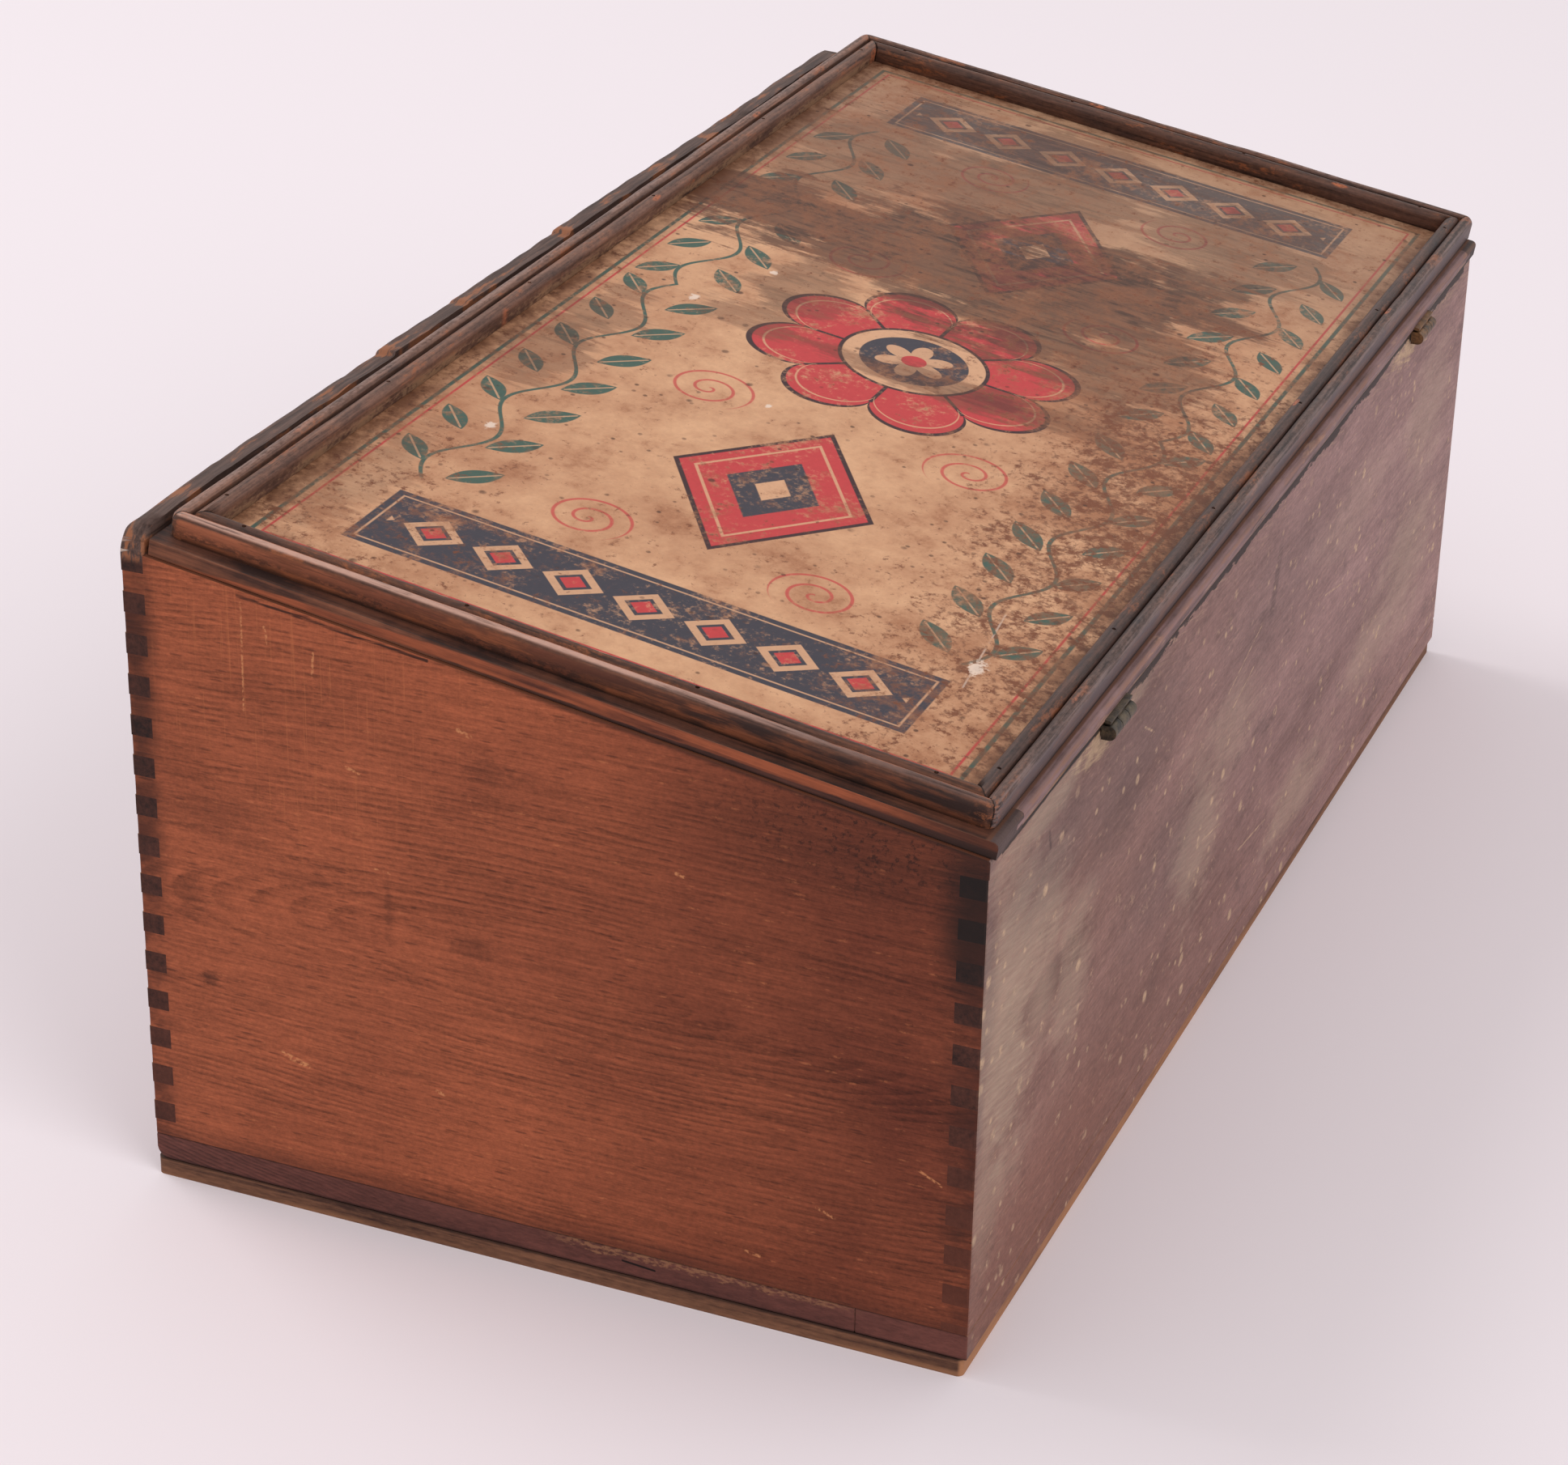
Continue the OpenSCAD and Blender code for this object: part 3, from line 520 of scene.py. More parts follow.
def strip_paint(name, along_x):
    """Base strips: brown with rubbed edges."""
    p = Paint(name)
    along, across = (p.x, p.y) if along_x else (p.y, p.x)
    late, fibre = rings(p, along, across + p.z, (0, 0), 80, 3.0, 0.05, 8)
    speck = p.noise((0.25, 0.25, 0.9), 83, 4, 0.6)
    broad = p.noise((0.02, 0.02, 0.2), 85, 4, 0.6)
    share = around(late * 0.2 + (0.3 if along_x else 0.4), (fibre, 1.6), (speck, 1.2), (broad, 1.4))
    p.colour = p.mix((128, 88, 66), (62, 40, 34), share)
    tan = (178, 126, 90)
    bare = p.ny.step(0.2, 0.7) * p.x.step(-60, 40)
    p.over(tan, bare * (broad * 0.7 + speck * 0.3).step(0.32, 0.6) * 0.75)
    p.over(tan, p.z.step(2.4, 0.6) * broad.step(0.4, 0.6) * 0.4)
    # Painted shade along the top edge, at the joint with the bottom boards
    p.over((26, 16, 14), p.z.step(4.8, 5.6) * 0.75)
    return p.done(0.62, fibre * 0.6 + speck * 0.5, 0.18, gloss=0.15)


def divider_paint():
    p = Paint("divider wood")
    p.colour, late, fibre = raw_wood(p, p.x + p.y, p.z, 90, (190, 152, 108), (146, 106, 70))
    stain = p.noise((0.03, 0.03, 0.05), 94, 4, 0.6).step(0.55, 0.75)
    p.over((98, 70, 58), stain * 0.4)
    return p.done(0.65, fibre * 0.6 + late * -0.3, 0.15, gloss=0.25)


# Lid

def lid_end(p, fibre, blot, fine):
    """End of the lid: orange wood between two dark bands that close on it towards the tall side."""
    away = ((p.v + 102) * (-1 / 143)).most(0.0)
    upper = p.w - LID_W1 + away.math("POWER", 1.7) * 5 + (blot - 0.5) * 1.8
    lower = p.w - (p.v + 245) * 0.01 + (blot - 0.5) * 1.8
    orange = p.mix((152, 82, 54), (80, 43, 33), around(0.35, (fibre, 2.6), (blot, 2.0), (fine, 1.0)))
    dark = p.mix((44, 28, 25), (92, 56, 46), around(0.4, (fibre, 2.2), (blot, 2.0)))
    warm = p.mix((70, 44, 35), (148, 92, 66), around(0.5, (fibre, 2.0), (blot, 2.4)))
    dark = p.mix(dark, warm, p.v.step(-100, -200) * 0.8)
    end = p.mix(orange, dark, upper.step(-0.3, 0.3).most(lower.step(0.3, -0.3)))
    end = p.mix(end, (46, 30, 26), (p.v + (blot - 0.5) * 40).step(-46, -6) * 0.7)
    # Painted shade along the bottom edge, where the lid sits on the end panel
    return p.mix(end, (30, 19, 16), p.w.step(1.0, 0.2) * (p.v.step(-150, -90) * 0.7 + 0.05))


def lid_board_paint(name, cleat):
    """Lid board or cleat: stained edges, a darker brown band beside the moulding, painted shade along the low
    edge, raw underside.
    """
    p = Paint(name)
    p.lid_axes()
    along, across = (p.v, p.u) if cleat else (p.u, p.v)
    fibre = p.noise((0.014, 0.6, 0.6), 101, 5, 0.65, at=(along, across, p.w))
    blot = p.noise((0.04, 0.04, 0.1), 103, 5, 0.65, at=(p.u, p.v, p.w))
    fine = p.noise((0.06, 1.2, 1.2), 107, 4, 0.65, at=(along, across, p.w))
    under, _, _ = raw_wood(p, along, across, 104, (170, 128, 88), (118, 82, 54))
    ledge = p.mix((42, 27, 24), (104, 62, 46), around(0.3, (fibre, 2.0), (blot, 2.2)))
    if cleat:
        low = p.mix((84, 66, 63), (50, 38, 37), around(0.45, (blot, 2.6), (fine, 0.8)))
    else:
        share = around(0.42, (fibre, 2.0), (blot, 2.4), (fine, 1.4))
        bare = p.noise((0.05, 0.2, 0.3), 106, 4, 0.65, at=(p.u, p.v, p.w)).step(0.56, 0.66)
        low = p.mix(p.mix((140, 110, 108), (84, 64, 64), share), (180, 142, 116), bare * 0.4)
    # Painted shade along the bottom of the low edge, where the lid sits on the wall
    low = p.mix(low, (34, 23, 22), p.w.step(1.3, 0.2) * blot.step(0.3, 0.5) * 0.85)
    upward = p.ny * SIN + p.nz * COS
    p.colour = p.mix(under, ledge, upward.step(0.0, 0.5))
    # Painted shade on the underside near the low edge
    p.over((28, 19, 17), upward.step(-0.6, -0.9) * (LID_V1 - p.v).step(9, 6))
    beyond = p.v - FRAME_V1
    strip = p.mix(low, (92, 58, 42), beyond.band(-2, 1.0, 0.3) * 0.85)
    p.over(strip, beyond.step(-0.6, 0.2) * upward.step(-0.7, -0.3))
    p.over(lid_end(p, fibre, blot, fine), p.nx.size().step(0.4, 0.7))
    arris = upward.band(0.3, 0.93, 0.1) * (blot * 0.6 + fine * 0.4).step(0.44, 0.58)
    p.over((168, 122, 98), arris * (0.2 if cleat else 0.4))
    return p.done(0.58, fibre * 0.7 + blot * 0.3 + fine * 0.3, 0.16, gloss=0.16)


# Looks of the mouldings: share of brown, its dark and light, strength of rust, of the painted shade in the
# groove and of the crest's wear and painted highlight, then the outer face and the patches on it
MOULDING_LOOKS = {
    "near": (0.8, (38, 24, 20), (124, 76, 53), 0.65, 0.85, 0.0, (46, 29, 25), (146, 82, 52)),
    "far": (0.75, (46, 30, 25), (122, 82, 64), 0.65, 0.45, 0.4, (70, 50, 43), (120, 76, 54)),
    "hinge": (0.4, (46, 30, 25), (122, 82, 64), 0.5, 0.45, 0.15, (84, 70, 71), (112, 82, 70)),
    "tall": (0.75, (70, 47, 40), (156, 112, 92), 0.65, 0.45, 0.4, (76, 55, 48), (120, 76, 54)),
}


def moulding_paint(name, side):
    """Dark moulding, rubbed on its crests."""
    p = Paint(name)
    p.lid_axes()
    near = side == "near"
    warm, deep, light, rusty, groove_shade_strength, crest_wear_and_highlight, face, patch = MOULDING_LOOKS[side]
    inset = {"near": FRAME_U1 - p.u, "far": p.u - FRAME_U0,
             "hinge": FRAME_V1 - p.v, "tall": p.v - FRAME_V0}[side]
    short = side in ("near", "far")
    along, ends = (p.v, (FRAME_V0, FRAME_V1)) if short else (p.u, (FRAME_U0, FRAME_U1))
    tall = p.w - LID_W1
    place = (along, inset, tall)
    streak = p.noise((0.02, 0.8, 0.8), 120, 5, 0.68, at=place)
    blot = p.noise((0.035, 0.14, 0.14), 122, 5, 0.68, at=place)
    speck = p.noise((0.4, 0.9, 0.9), 124, 4, 0.7, at=place)
    cool = p.mix((36, 28, 28), (80, 65, 64), around(0.42, (streak, 2.2), (speck, 1.0)))
    brown = p.mix(deep, light, around(0.48, (streak, 2.2), (speck, 1.0)))
    p.colour = p.mix(cool, brown, around(warm, (blot, 2.2)))
    p.over((150, 86, 52), around(blot, (speck, 0.4)).step(0.56, 0.68) * rusty)
    if not near:
        chips = p.specks((0.05, 0.2, 0), 126, 0.2, 0.6, at=place) * speck.step(0.36, 0.56)
        p.over((186, 106, 70), chips * 0.8)
    # Painted shade in the groove between the beads
    groove = inset.band(3.9, 5.0, 0.25) * tall.step(6.9, 6.2)
    p.over((28, 20, 18), groove * groove_shade_strength)

    # Outer face
    outer = inset.step(0.5, 0.1)
    share = 0.8
    if near:
        red = p.mix((156, 90, 62), (120, 66, 46), along.step(-235, -165))
        face = p.mix(red, face, along.step(-170, -70))
        soiled = (blot * 0.5 + streak * 0.5).step(0.46, 0.54)
        soiled = soiled.most(tall.step(5.2, 2.0) * speck.step(0.36, 0.56))
        face = p.mix(face, (46, 30, 25), soiled * 0.78)
        share = 0.8 - along.step(-120, -40) * 0.4
    skin = p.mix(face, patch, (blot * 0.7 + streak * 0.4).step(0.5, 0.7) * share)
    p.over(p.tone(skin, 0.45 + streak * 0.7 + speck * 0.4), outer * 0.95)
    # Painted shade along the foot of the outer face, under the bead
    p.over((26, 17, 15), outer * tall.step(1.4, 0.2) * 0.75)

    # Crest and edge, rubbed bare and given a painted highlight
    crest = inset.band(0.9, 3.2, 0.6) * tall.step(6.5, 7.1)
    ridge = inset.band(0.2, 1.3, 0.3)
    if near:
        # Pale pinkish crest: wear and a painted highlight together
        bare = p.mix((196, 154, 138), (124, 100, 94), along.step(-130, -20))
        smooth = (streak * 0.55 + blot * 0.45).step(0.34, 0.5)
        share = crest * smooth * (0.85 - along.step(-100, -10) * 0.5)
        p.over(p.tone(bare, 0.8 + speck * 0.4), share)
        p.over((150, 84, 52), inset.band(2.8, 4.1, 0.3) * blot.step(0.38, 0.52) * 0.85)
    else:
        # Pale crest and ridge: wear and a painted highlight together
        worn = (speck * 0.6 + streak * 0.5).step(0.46, 0.66)
        p.over((156, 130, 122), crest.most(ridge * 0.8) * worn * crest_wear_and_highlight)
    if side == "hinge":
        # A light line along the outer edge: painted highlight and wear
        p.over((138, 120, 118), ridge * streak.step(0.38, 0.62) * 0.45)
    if side == "tall":
        crust = inset.step(8.6, 9.3) * tall.step(5.0, 2.0) * (blot * 0.6 + speck * 0.5).step(0.48, 0.6)
        p.over((160, 130, 102), crust * 0.7)

    # Mitres
    mitre = (along - ends[1]).size().least((along - ends[0]).size())
    p.over((20, 13, 12), (mitre - inset).size().step(0.5, 0.15) * 0.85)
    p.over((158, 94, 60), mitre.step(9, 1) * speck.step(0.5, 0.62) * 0.6)
    return p.done(0.5, streak * 0.6 + speck * 0.5, 0.14, gloss=0.2)


# Printed plate: its inks, and half the blur of a printed edge in millimetres

CREAM, RED, SLATE = (206, 158, 124), (186, 62, 64), (62, 58, 66)
GREEN, INK = (66, 88, 78), (60, 38, 40)
SOFT = 0.25


def print_bands(p, fa, b):
    """Dark bands across the short ends, each with a chain of lozenges."""
    middle, half_wide, half_long, pitch = 211, 18, 86, 22
    off = (middle - fa).size()
    slab = (half_wide - off).least(half_long - b.size())
    p.over(SLATE, slab.step(-SOFT, SOFT))
    p.over(CREAM, slab.band(2.4, 3.1, SOFT) * 0.85)
    chain = ((b / pitch + 0.5).part() - 0.5).size() * pitch
    inside = off + chain
    within = slab.step(5.5, 6.0)
    p.over(CREAM, within * inside.band(6.0, 9.6, SOFT) * 0.9)
    p.over(RED, within * inside.step(4.4, 4.0))


def print_rosette(p, a, b):
    """Flower of eight petals with a small star in its eye."""
    far = length(a, b)
    turn = b.math("ARCTAN2", a)
    lobe = (turn * 4.0).wave().size()
    reach = lobe.math("POWER", 0.6) * 15 + 38 - far
    p.over(INK, reach.step(-2.2, -1.8))
    p.over(RED, reach.step(-SOFT, SOFT))
    p.over(INK, (lobe * far * 0.25).step(0.9, 0.5) * far.band(24, 39, SOFT))
    p.over(CREAM, reach.band(3.4, 4.2, SOFT) * 0.8)
    for radius, ink in ((25, INK), (23.6, CREAM), (18, SLATE)):
        p.over(ink, far.step(radius + 0.2, radius - 0.2))
    star = (turn * 3.0).math("COSINE").size() * 7 + 6 - far
    p.over(CREAM, star.step(-SOFT, SOFT) * 0.9)
    p.over(RED, far.step(4.4, 4.0))


def print_lozenges(p, fa, fb):
    """A large lozenge on each side of the rosette."""
    middle, half_long, half_wide = 118, 46, 31
    gem = 1.0 - ((fa - middle) / half_long).size() - fb / half_wide
    p.over(INK, gem.step(-0.07, -0.055))
    p.over(RED, gem.step(-0.008, 0.008))
    p.over(CREAM, gem.band(0.16, 0.20, 0.008) * 0.85)
    p.over(SLATE, gem.step(0.50, 0.52))
    p.over(CREAM, gem.step(0.80, 0.82))


def print_scrolls(p, fa, fb):
    """Scrolls of thin red lines."""
    half_line = 0.55
    for centre, wide, gap in (((66, 44), 15, 6.4), ((172, 36), 14, 6.0)):
        da, db = fa - centre[0], fb - centre[1]
        out = length(da, db)
        curl = (out / gap - db.math("ARCTAN2", da) / (2 * math.pi)).part() - 0.5
        thin = (curl.size() * gap).step(half_line + SOFT, half_line - SOFT) * out.step(wide, wide - 0.6)
        p.over(RED, thin * 0.8)


def leaf(a, b, centre, angle, half, wide):
    """A pointed leaf: how far inside, in millimetres, and how far from its middle vein."""
    c, s = math.cos(angle), math.sin(angle)
    along = (a - centre[0]) * c + (b - centre[1]) * s
    across = ((b - centre[1]) * c - (a - centre[0]) * s).size()
    t = along / half
    return (1.0 - t * t) * wide - across, across


def print_vines(p, fa, fb):
    """A running vine with leaves along each long side."""
    middle, sway, wave, pitch = 85, 5.0, 52, 26
    run = fa.step(183, 181)
    vine = middle + (fa / wave * (2 * math.pi)).wave() * sway
    p.over(GREEN, (fb - vine).size().step(0.9, 0.5) * run)
    local = ((fa / pitch).part() - 0.5) * pitch
    for centre, angle, half, wide in (((2, 73), 0.75, 9.5, 4.2), ((-4, 96), -0.7, 8.5, 3.8)):
        inside, vein = leaf(local, fb, centre, angle, half, wide)
        p.over(GREEN, inside.step(-SOFT, SOFT) * run)
        p.over(CREAM, inside.step(0.6, 0.9) * vein.step(0.45, 0.25) * run * 0.7)


# Marks on the plate, as u and v along the lid
PLATE_STAINS = (((-100, -150), (32, 44), 1.0), ((-112, -92), (38, 34), 1.0), ((-66, -112), (26, 40), 0.9),
                ((-60, -66), (34, 24), 0.7), ((6, -98), (8, 46), 0.6), ((-190, -150), (44, 36), 0.55),
                ((-165, -205), (60, 24), 0.45), ((-180, -70), (40, 30), 0.45), ((190, -226), (36, 9), 0.3),
                ((60, -222), (40, 10), 0.5), ((-30, -178), (30, 14), 0.5), ((-128, -70), (24, 22), 0.8))
PLATE_FLAKES = (((0, -202), (2.6, 1.5), 1.0), ((132, -211), (2.4, 1.4), 1.0), ((-38, -190), (1.6, 1.2), 1.0),
                ((60, -150), (1.4, 1.1), 1.0))
PLATE_FOLD = ((140, -41), (189, -36), 0.3)


def age_plate(p, edge, mottle, grime, dust):
    """Stains, rust, flakes and dirt over the print; gives the rust."""
    u, v = p.u, p.v
    flat = (u, v, p.w)
    runs = p.noise((0.075, 0.014, 0), 146, 5, 0.66, at=flat)
    veins = p.noise((0.26, 0.04, 0), 148, 5, 0.7, at=flat)
    fine = p.noise((0.24, 0.24, 0), 150, 6, 0.72, at=flat)

    # Dull far end, then brown stains that ran across the plate
    p.over((122, 100, 86), u.step(-70, -190) * 0.42)
    uneven = around(-0.15, (grime, 2.0), (runs, 3.8), (veins, 2.4))
    stain = p.spot(u, v, (-92, -205), (24, 46), uneven, 0.3)
    stain = stain.most(p.spots(u, v, PLATE_STAINS, uneven, 0.35))
    p.over((90, 56, 42), stain * 0.86)
    streaks = (runs * 0.4 + veins * 0.6).step(0.44, 0.6)
    p.over((50, 33, 28), stain * streaks * 0.8)
    p.over((138, 90, 64), stain * (veins * 0.6 + grime * 0.4).step(0.46, 0.38) * 0.5)

    # Rust, from a brown haze to pits
    cloud = (grime - 0.5) * 2.0
    zone = p.spot(u, v, (85, -36), (130, 30), cloud, 0.8) * 0.13
    zone = zone + p.spot(u, v, (206, -214), (46, 24), cloud, 0.8) * 0.05
    zone = around(zone + stain * 0.05 + edge.step(18, 0) * 0.05, (mottle, 0.16))
    haze = (grime * 0.5 + fine * 0.5 + zone).step(0.5, 0.64)
    p.over((146, 92, 62), haze * 0.5)
    grain = (dust * 0.6 + fine * 0.4 + zone * 0.9).step(0.56, 0.66)
    p.over((104, 66, 48), grain * 0.65)
    rust = (fine + zone).step(0.62, 0.7)
    p.over((112, 62, 40), rust * 0.75)
    dots = p.specks((0.2, 0.2, 0), 152, 0.2, 0.4, at=flat)
    dots = dots.most(p.specks((0.08, 0.08, 0), 153, 0.13, 0.4, at=flat))
    p.over((66, 40, 31), dots * (grime.step(0.36, 0.6) * 0.7 + 0.1))

    # Flaked spots, a fold and dirt in the corners of the frame
    white = p.spot(u, v, (176, -37), (4, 2.0), around(0.0, (dust, 4), (fine, 3)), 0.3)
    white = white.most(p.spots(u, v, PLATE_FLAKES, (dust - 0.5) * 3, 0.3))
    white = white.most(p.stroke(u, v, *PLATE_FOLD) * fine.step(0.42, 0.55) * 0.5)
    p.over((228, 206, 190), white * 0.8)
    brim = edge.step(14, 2.5) * (grime * 0.7 + fine * 0.4 - 0.36).step(0.0, 0.3)
    p.over((86, 56, 42), brim * 0.7)
    return rust


def plate_paint():
    """Printed tin with a made-up design, aged."""
    p = Paint("printed plate")
    p.lid_axes()
    a, b = p.u - PLATE_U, p.v - PLATE_V
    fa, fb = a.size(), b.size()
    flat = (p.u, p.v, p.w)
    mottle = p.noise((0.012, 0.012, 0), 140, 5, 0.62, at=flat)
    grime = p.noise((0.05, 0.05, 0), 142, 6, 0.68, at=flat)
    dust = p.noise((0.5, 0.5, 0), 144, 4, 0.7, at=flat)
    ground = p.mix((208, 160, 124), (170, 118, 87), around(0.5, (mottle, 2.4), (grime, 2.0)))
    edge = (PLATE_HALF_U - fa).least(PLATE_HALF_V - fb)
    p.colour = p.mix(ground, GREEN, edge.band(7.6, 9.0, SOFT))
    p.over(RED, edge.band(11.0, 11.8, SOFT))
    print_bands(p, fa, b)
    print_rosette(p, a, b)
    print_lozenges(p, fa, fb)
    print_scrolls(p, fa, fb)
    print_vines(p, fa, fb)
    rubbed = (grime * 0.6 + dust * 0.5).step(0.56, 0.72)
    p.over(ground, rubbed * 0.8)
    rust = age_plate(p, edge, mottle, grime, dust)
    p.colour = p.tone(p.colour, 0.84 + dust * 0.32)
    return p.done(0.5, dust * 0.3 + rust * 0.5, 0.06, gloss=0.12)


# Metal

def brass_paint(name, base, worn):
    p = Paint(name)
    blot = p.noise((0.3, 0.3, 0.3), 160, 4, 0.65)
    speck = p.noise((1.5, 1.5, 1.5), 161, 3, 0.6)
    p.colour = p.mix(base, worn, around(0.36, (blot, 2.2), (speck, 0.8)))
    return p.done(0.5, speck, 0.05, metal=0.35, gloss=0.4)


def steel_paint():
    p = Paint("dark steel")
    blot = p.noise((0.6, 0.6, 0.6), 165, 4, 0.65)
    p.colour = p.mix((44, 40, 38), (96, 70, 54), around(0.4, (blot, 2.0)))
    return p.done(0.55, blot, 0.08, metal=0.4, gloss=0.4)


# Worn copies of the wooden pieces, and how far their edges are worn in millimetres

ARRIS, CORNER, FOOT, SEAT, STRIP, LID_EDGE, POST = 0.5, 0.7, 0.4, 0.6, 1.1, 1.6, 0.8


def copy_of(node):
    """The node's mesh in millimetres, welded, with its flat areas joined."""
    mesh = bmesh.new()
    mesh.from_mesh(nodes[node].data)
    bmesh.ops.scale(mesh, vec=(1000, 1000, 1000), verts=mesh.verts)
    bmesh.ops.remove_doubles(mesh, verts=mesh.verts, dist=0.005)
    bmesh.ops.dissolve_limit(mesh, angle_limit=0.005, verts=mesh.verts, edges=mesh.edges)
    return mesh


def near_to(value, goal):
    return abs(value - goal) < 0.02


def round_off(mesh, width, test, steps=2):
    """Round the edges whose two ends pass the test."""
    edges = [edge for edge in mesh.edges if all(test(vert.co) for vert in edge.verts)
             and edge.calc_face_angle(0) > 0.3]
    bmesh.ops.bevel(mesh, geom=edges, offset=width, segments=steps, profile=0.5, affect="EDGES",
                    clamp_overlap=True)


def slice_at(mesh, direction, stops):
    for stop in stops:
        bmesh.ops.bisect_plane(mesh, geom=mesh.verts[:] + mesh.edges[:] + mesh.faces[:], dist=0.001,
                               plane_co=Vector(direction) * stop, plane_no=direction)


def rough(x, y, z):
    """Smooth noise about 0 at a place."""
    return noise.noise(Vector((x, y, z)))


def share_of(value, start, end):
    """How far a value has come from start to end, from 0 to 1."""
    return min(1, max(0, (value - start) / (end - start)))


def put(mesh, node, body, material, angle=32):
    """Make the object that stands in for a node."""
    bmesh.ops.scale(mesh, vec=(0.001, 0.001, 0.001), verts=mesh.verts)
    name = node + "_worn"
    data = bpy.data.meshes.new(name)
    mesh.to_mesh(data)
    mesh.free()
    data.materials.append(material)
    data.polygons.foreach_set("use_smooth", [True] * len(data.polygons))
    data.set_sharp_from_angle(angle=math.radians(angle))
    thing = bpy.data.objects.new(name, data)
    bpy.context.scene.collection.objects.link(thing)
    thing.modifiers.new("flat faces", "WEIGHTED_NORMAL").keep_sharp = True
    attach(thing, body)
    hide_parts(node)


def at_corner(point):
    return near_to(abs(point.x), FACE_X) and near_to(abs(point.y), FACE_Y)


def make_ends():
    def rim(point):
        return near_to(point.z, LOW_H + (FACE_Y - point.y) * SIN / COS)

    def foot(point):
        return near_to(point.z, WALL_Z) and near_to(abs(point.x), FACE_X)

    for node, sign in (("end_panel_near", 1), ("end_panel_far", -1)):
        mesh = copy_of(node)
        round_off(mesh, CORNER, at_corner)
        round_off(mesh, SEAT, rim)
        round_off(mesh, FOOT, foot)
        put(mesh, node, "box", end_panel_paint(node + " paint", sign))


def make_low_wall():
    mesh = copy_of("hinge_wall")
    round_off(mesh, CORNER, at_corner)
    for edge_z, width in ((WALL_TOP, ARRIS), (WALL_Z, FOOT)):
        round_off(mesh, width, lambda point: near_to(point.z, edge_z) and near_to(point.y, FACE_Y))
    put(mesh, "hinge_wall", "box", wall_paint("low wall paint", 1))


# Chewed lip: its height along the box, its steps, and where it starts
LIP = ((-262, 207.6), (-250, 208.8), (-205, 209.4), (-166, 209.0), (-126, 209.6), (-87, 210.1), (-50, 210.5),
       (-14, 210.7), (-13, 209.7), (0, 209.9), (30, 210.05), (61, 210.5), (62, 210.0), (70, 210.3),
       (105, 210.7), (111, 210.6), (112, 209.5), (126, 209.9), (145, 210.3), (184, 210.3), (221, 210.5),
       (242, 209.8), (262, 209.6))
LIP_STEPS = (-14, -13, 61, 62, 111)
LIP_FOOT = 203


def lip_height(x):
    for (x0, z0), (x1, z1) in zip(LIP, LIP[1:]):
        if x <= x1:
            return z0 + (z1 - z0) * max(0, x - x0) / (x1 - x0)
    return LIP[-1][1]


def make_tall_wall():
    mesh = copy_of("tall_wall")
    round_off(mesh, CORNER, at_corner)
    round_off(mesh, FOOT, lambda point: near_to(point.z, WALL_Z) and near_to(point.y, -FACE_Y))
    slice_at(mesh, (1, 0, 0), [-260 + 4 * i for i in range(131)] + list(LIP_STEPS))
    slice_at(mesh, (0, 0, 1), (199, LIP_FOOT, 206))
    for vert in mesh.verts:
        point = vert.co
        share = share_of(point.z, LIP_FOOT, LIP_TOP)
        if share > 0:
            inner = point.y > 3.5 - FACE_Y
            jag = rough(point.x * 0.11, point.y * 0.2, 3) * 0.35
            bite = max(0, rough(point.x * 0.05, point.y * 0.4, 9) - 0.35) * 2.2
            sway = rough(point.x * 0.07, point.z * 0.3, 15 + inner * 4) * 0.3
            point.z += share * (lip_height(point.x) - LIP_TOP + jag - bite)
            point.y += share * sway
    put(mesh, "tall_wall", "box", wall_paint("tall wall paint", -1), 40)


def make_base():
    strip_inset = 1.2

    def outer_end(point):
        return near_to(abs(point.x), FACE_X)

    def strip_edge(point):
        return outer_end(point) or near_to(point.y, -FACE_Y) or near_to(point.y, FACE_Y - strip_inset)

    boards = bottom_paint()
    for node in ("bottom_board_wide", "bottom_board_narrow"):
        mesh = copy_of(node)
        round_off(mesh, SEAT, outer_end)
        put(mesh, node, "box", boards)
    across, long = strip_paint("short strip paint", False), strip_paint("long strip paint", True)
    for name, paint in (("near", across), ("far", across), ("hinge_side", long), ("tall_side", long)):
        node = "base_strip_" + name
        mesh = copy_of(node)
        round_off(mesh, STRIP, strip_edge, 3)
        put(mesh, node, "box", paint)


def make_lid_boards():
    def low_top(point):
        spot = to_lid(point)
        return near_to(spot.y, LID_V1) and near_to(spot.z, LID_W1)

    def end_top(point):
        spot = to_lid(point)
        return near_to(abs(spot.x), LID_X) and near_to(spot.z, LID_W1)

    def post(point):
        spot = to_lid(point)
        return near_to(abs(spot.x), LID_X) and (near_to(spot.y, LID_V1) or near_to(spot.y, LID_V0))

    for node in ("lid_panel", "lid_cleat_near", "lid_cleat_far"):
        cleat = node != "lid_panel"
        mesh = copy_of(node)
        round_off(mesh, LID_EDGE, low_top, 3)
        if cleat:
            round_off(mesh, ARRIS, end_top)
            round_off(mesh, POST, post, 3)
        put(mesh, node, "lid", lid_board_paint(node + " paint", cleat))


def round_frame(spot):
    """Pull a point of the moulding into the frame's rounded corners."""
    radius = 4.0
    for edge_u, sign_u in ((FRAME_U0, 1), (FRAME_U1, -1)):
        for edge_v, sign_v in ((FRAME_V0, 1), (FRAME_V1, -1)):
            out = Vector((radius - (spot.x - edge_u) * sign_u, radius - (spot.y - edge_v) * sign_v))
            if out.x > 0 and out.y > 0:
                out *= max(out.x, out.y) / out.length
                spot.x = edge_u + (radius - out.x) * sign_u
                spot.y = edge_v + (radius - out.y) * sign_v


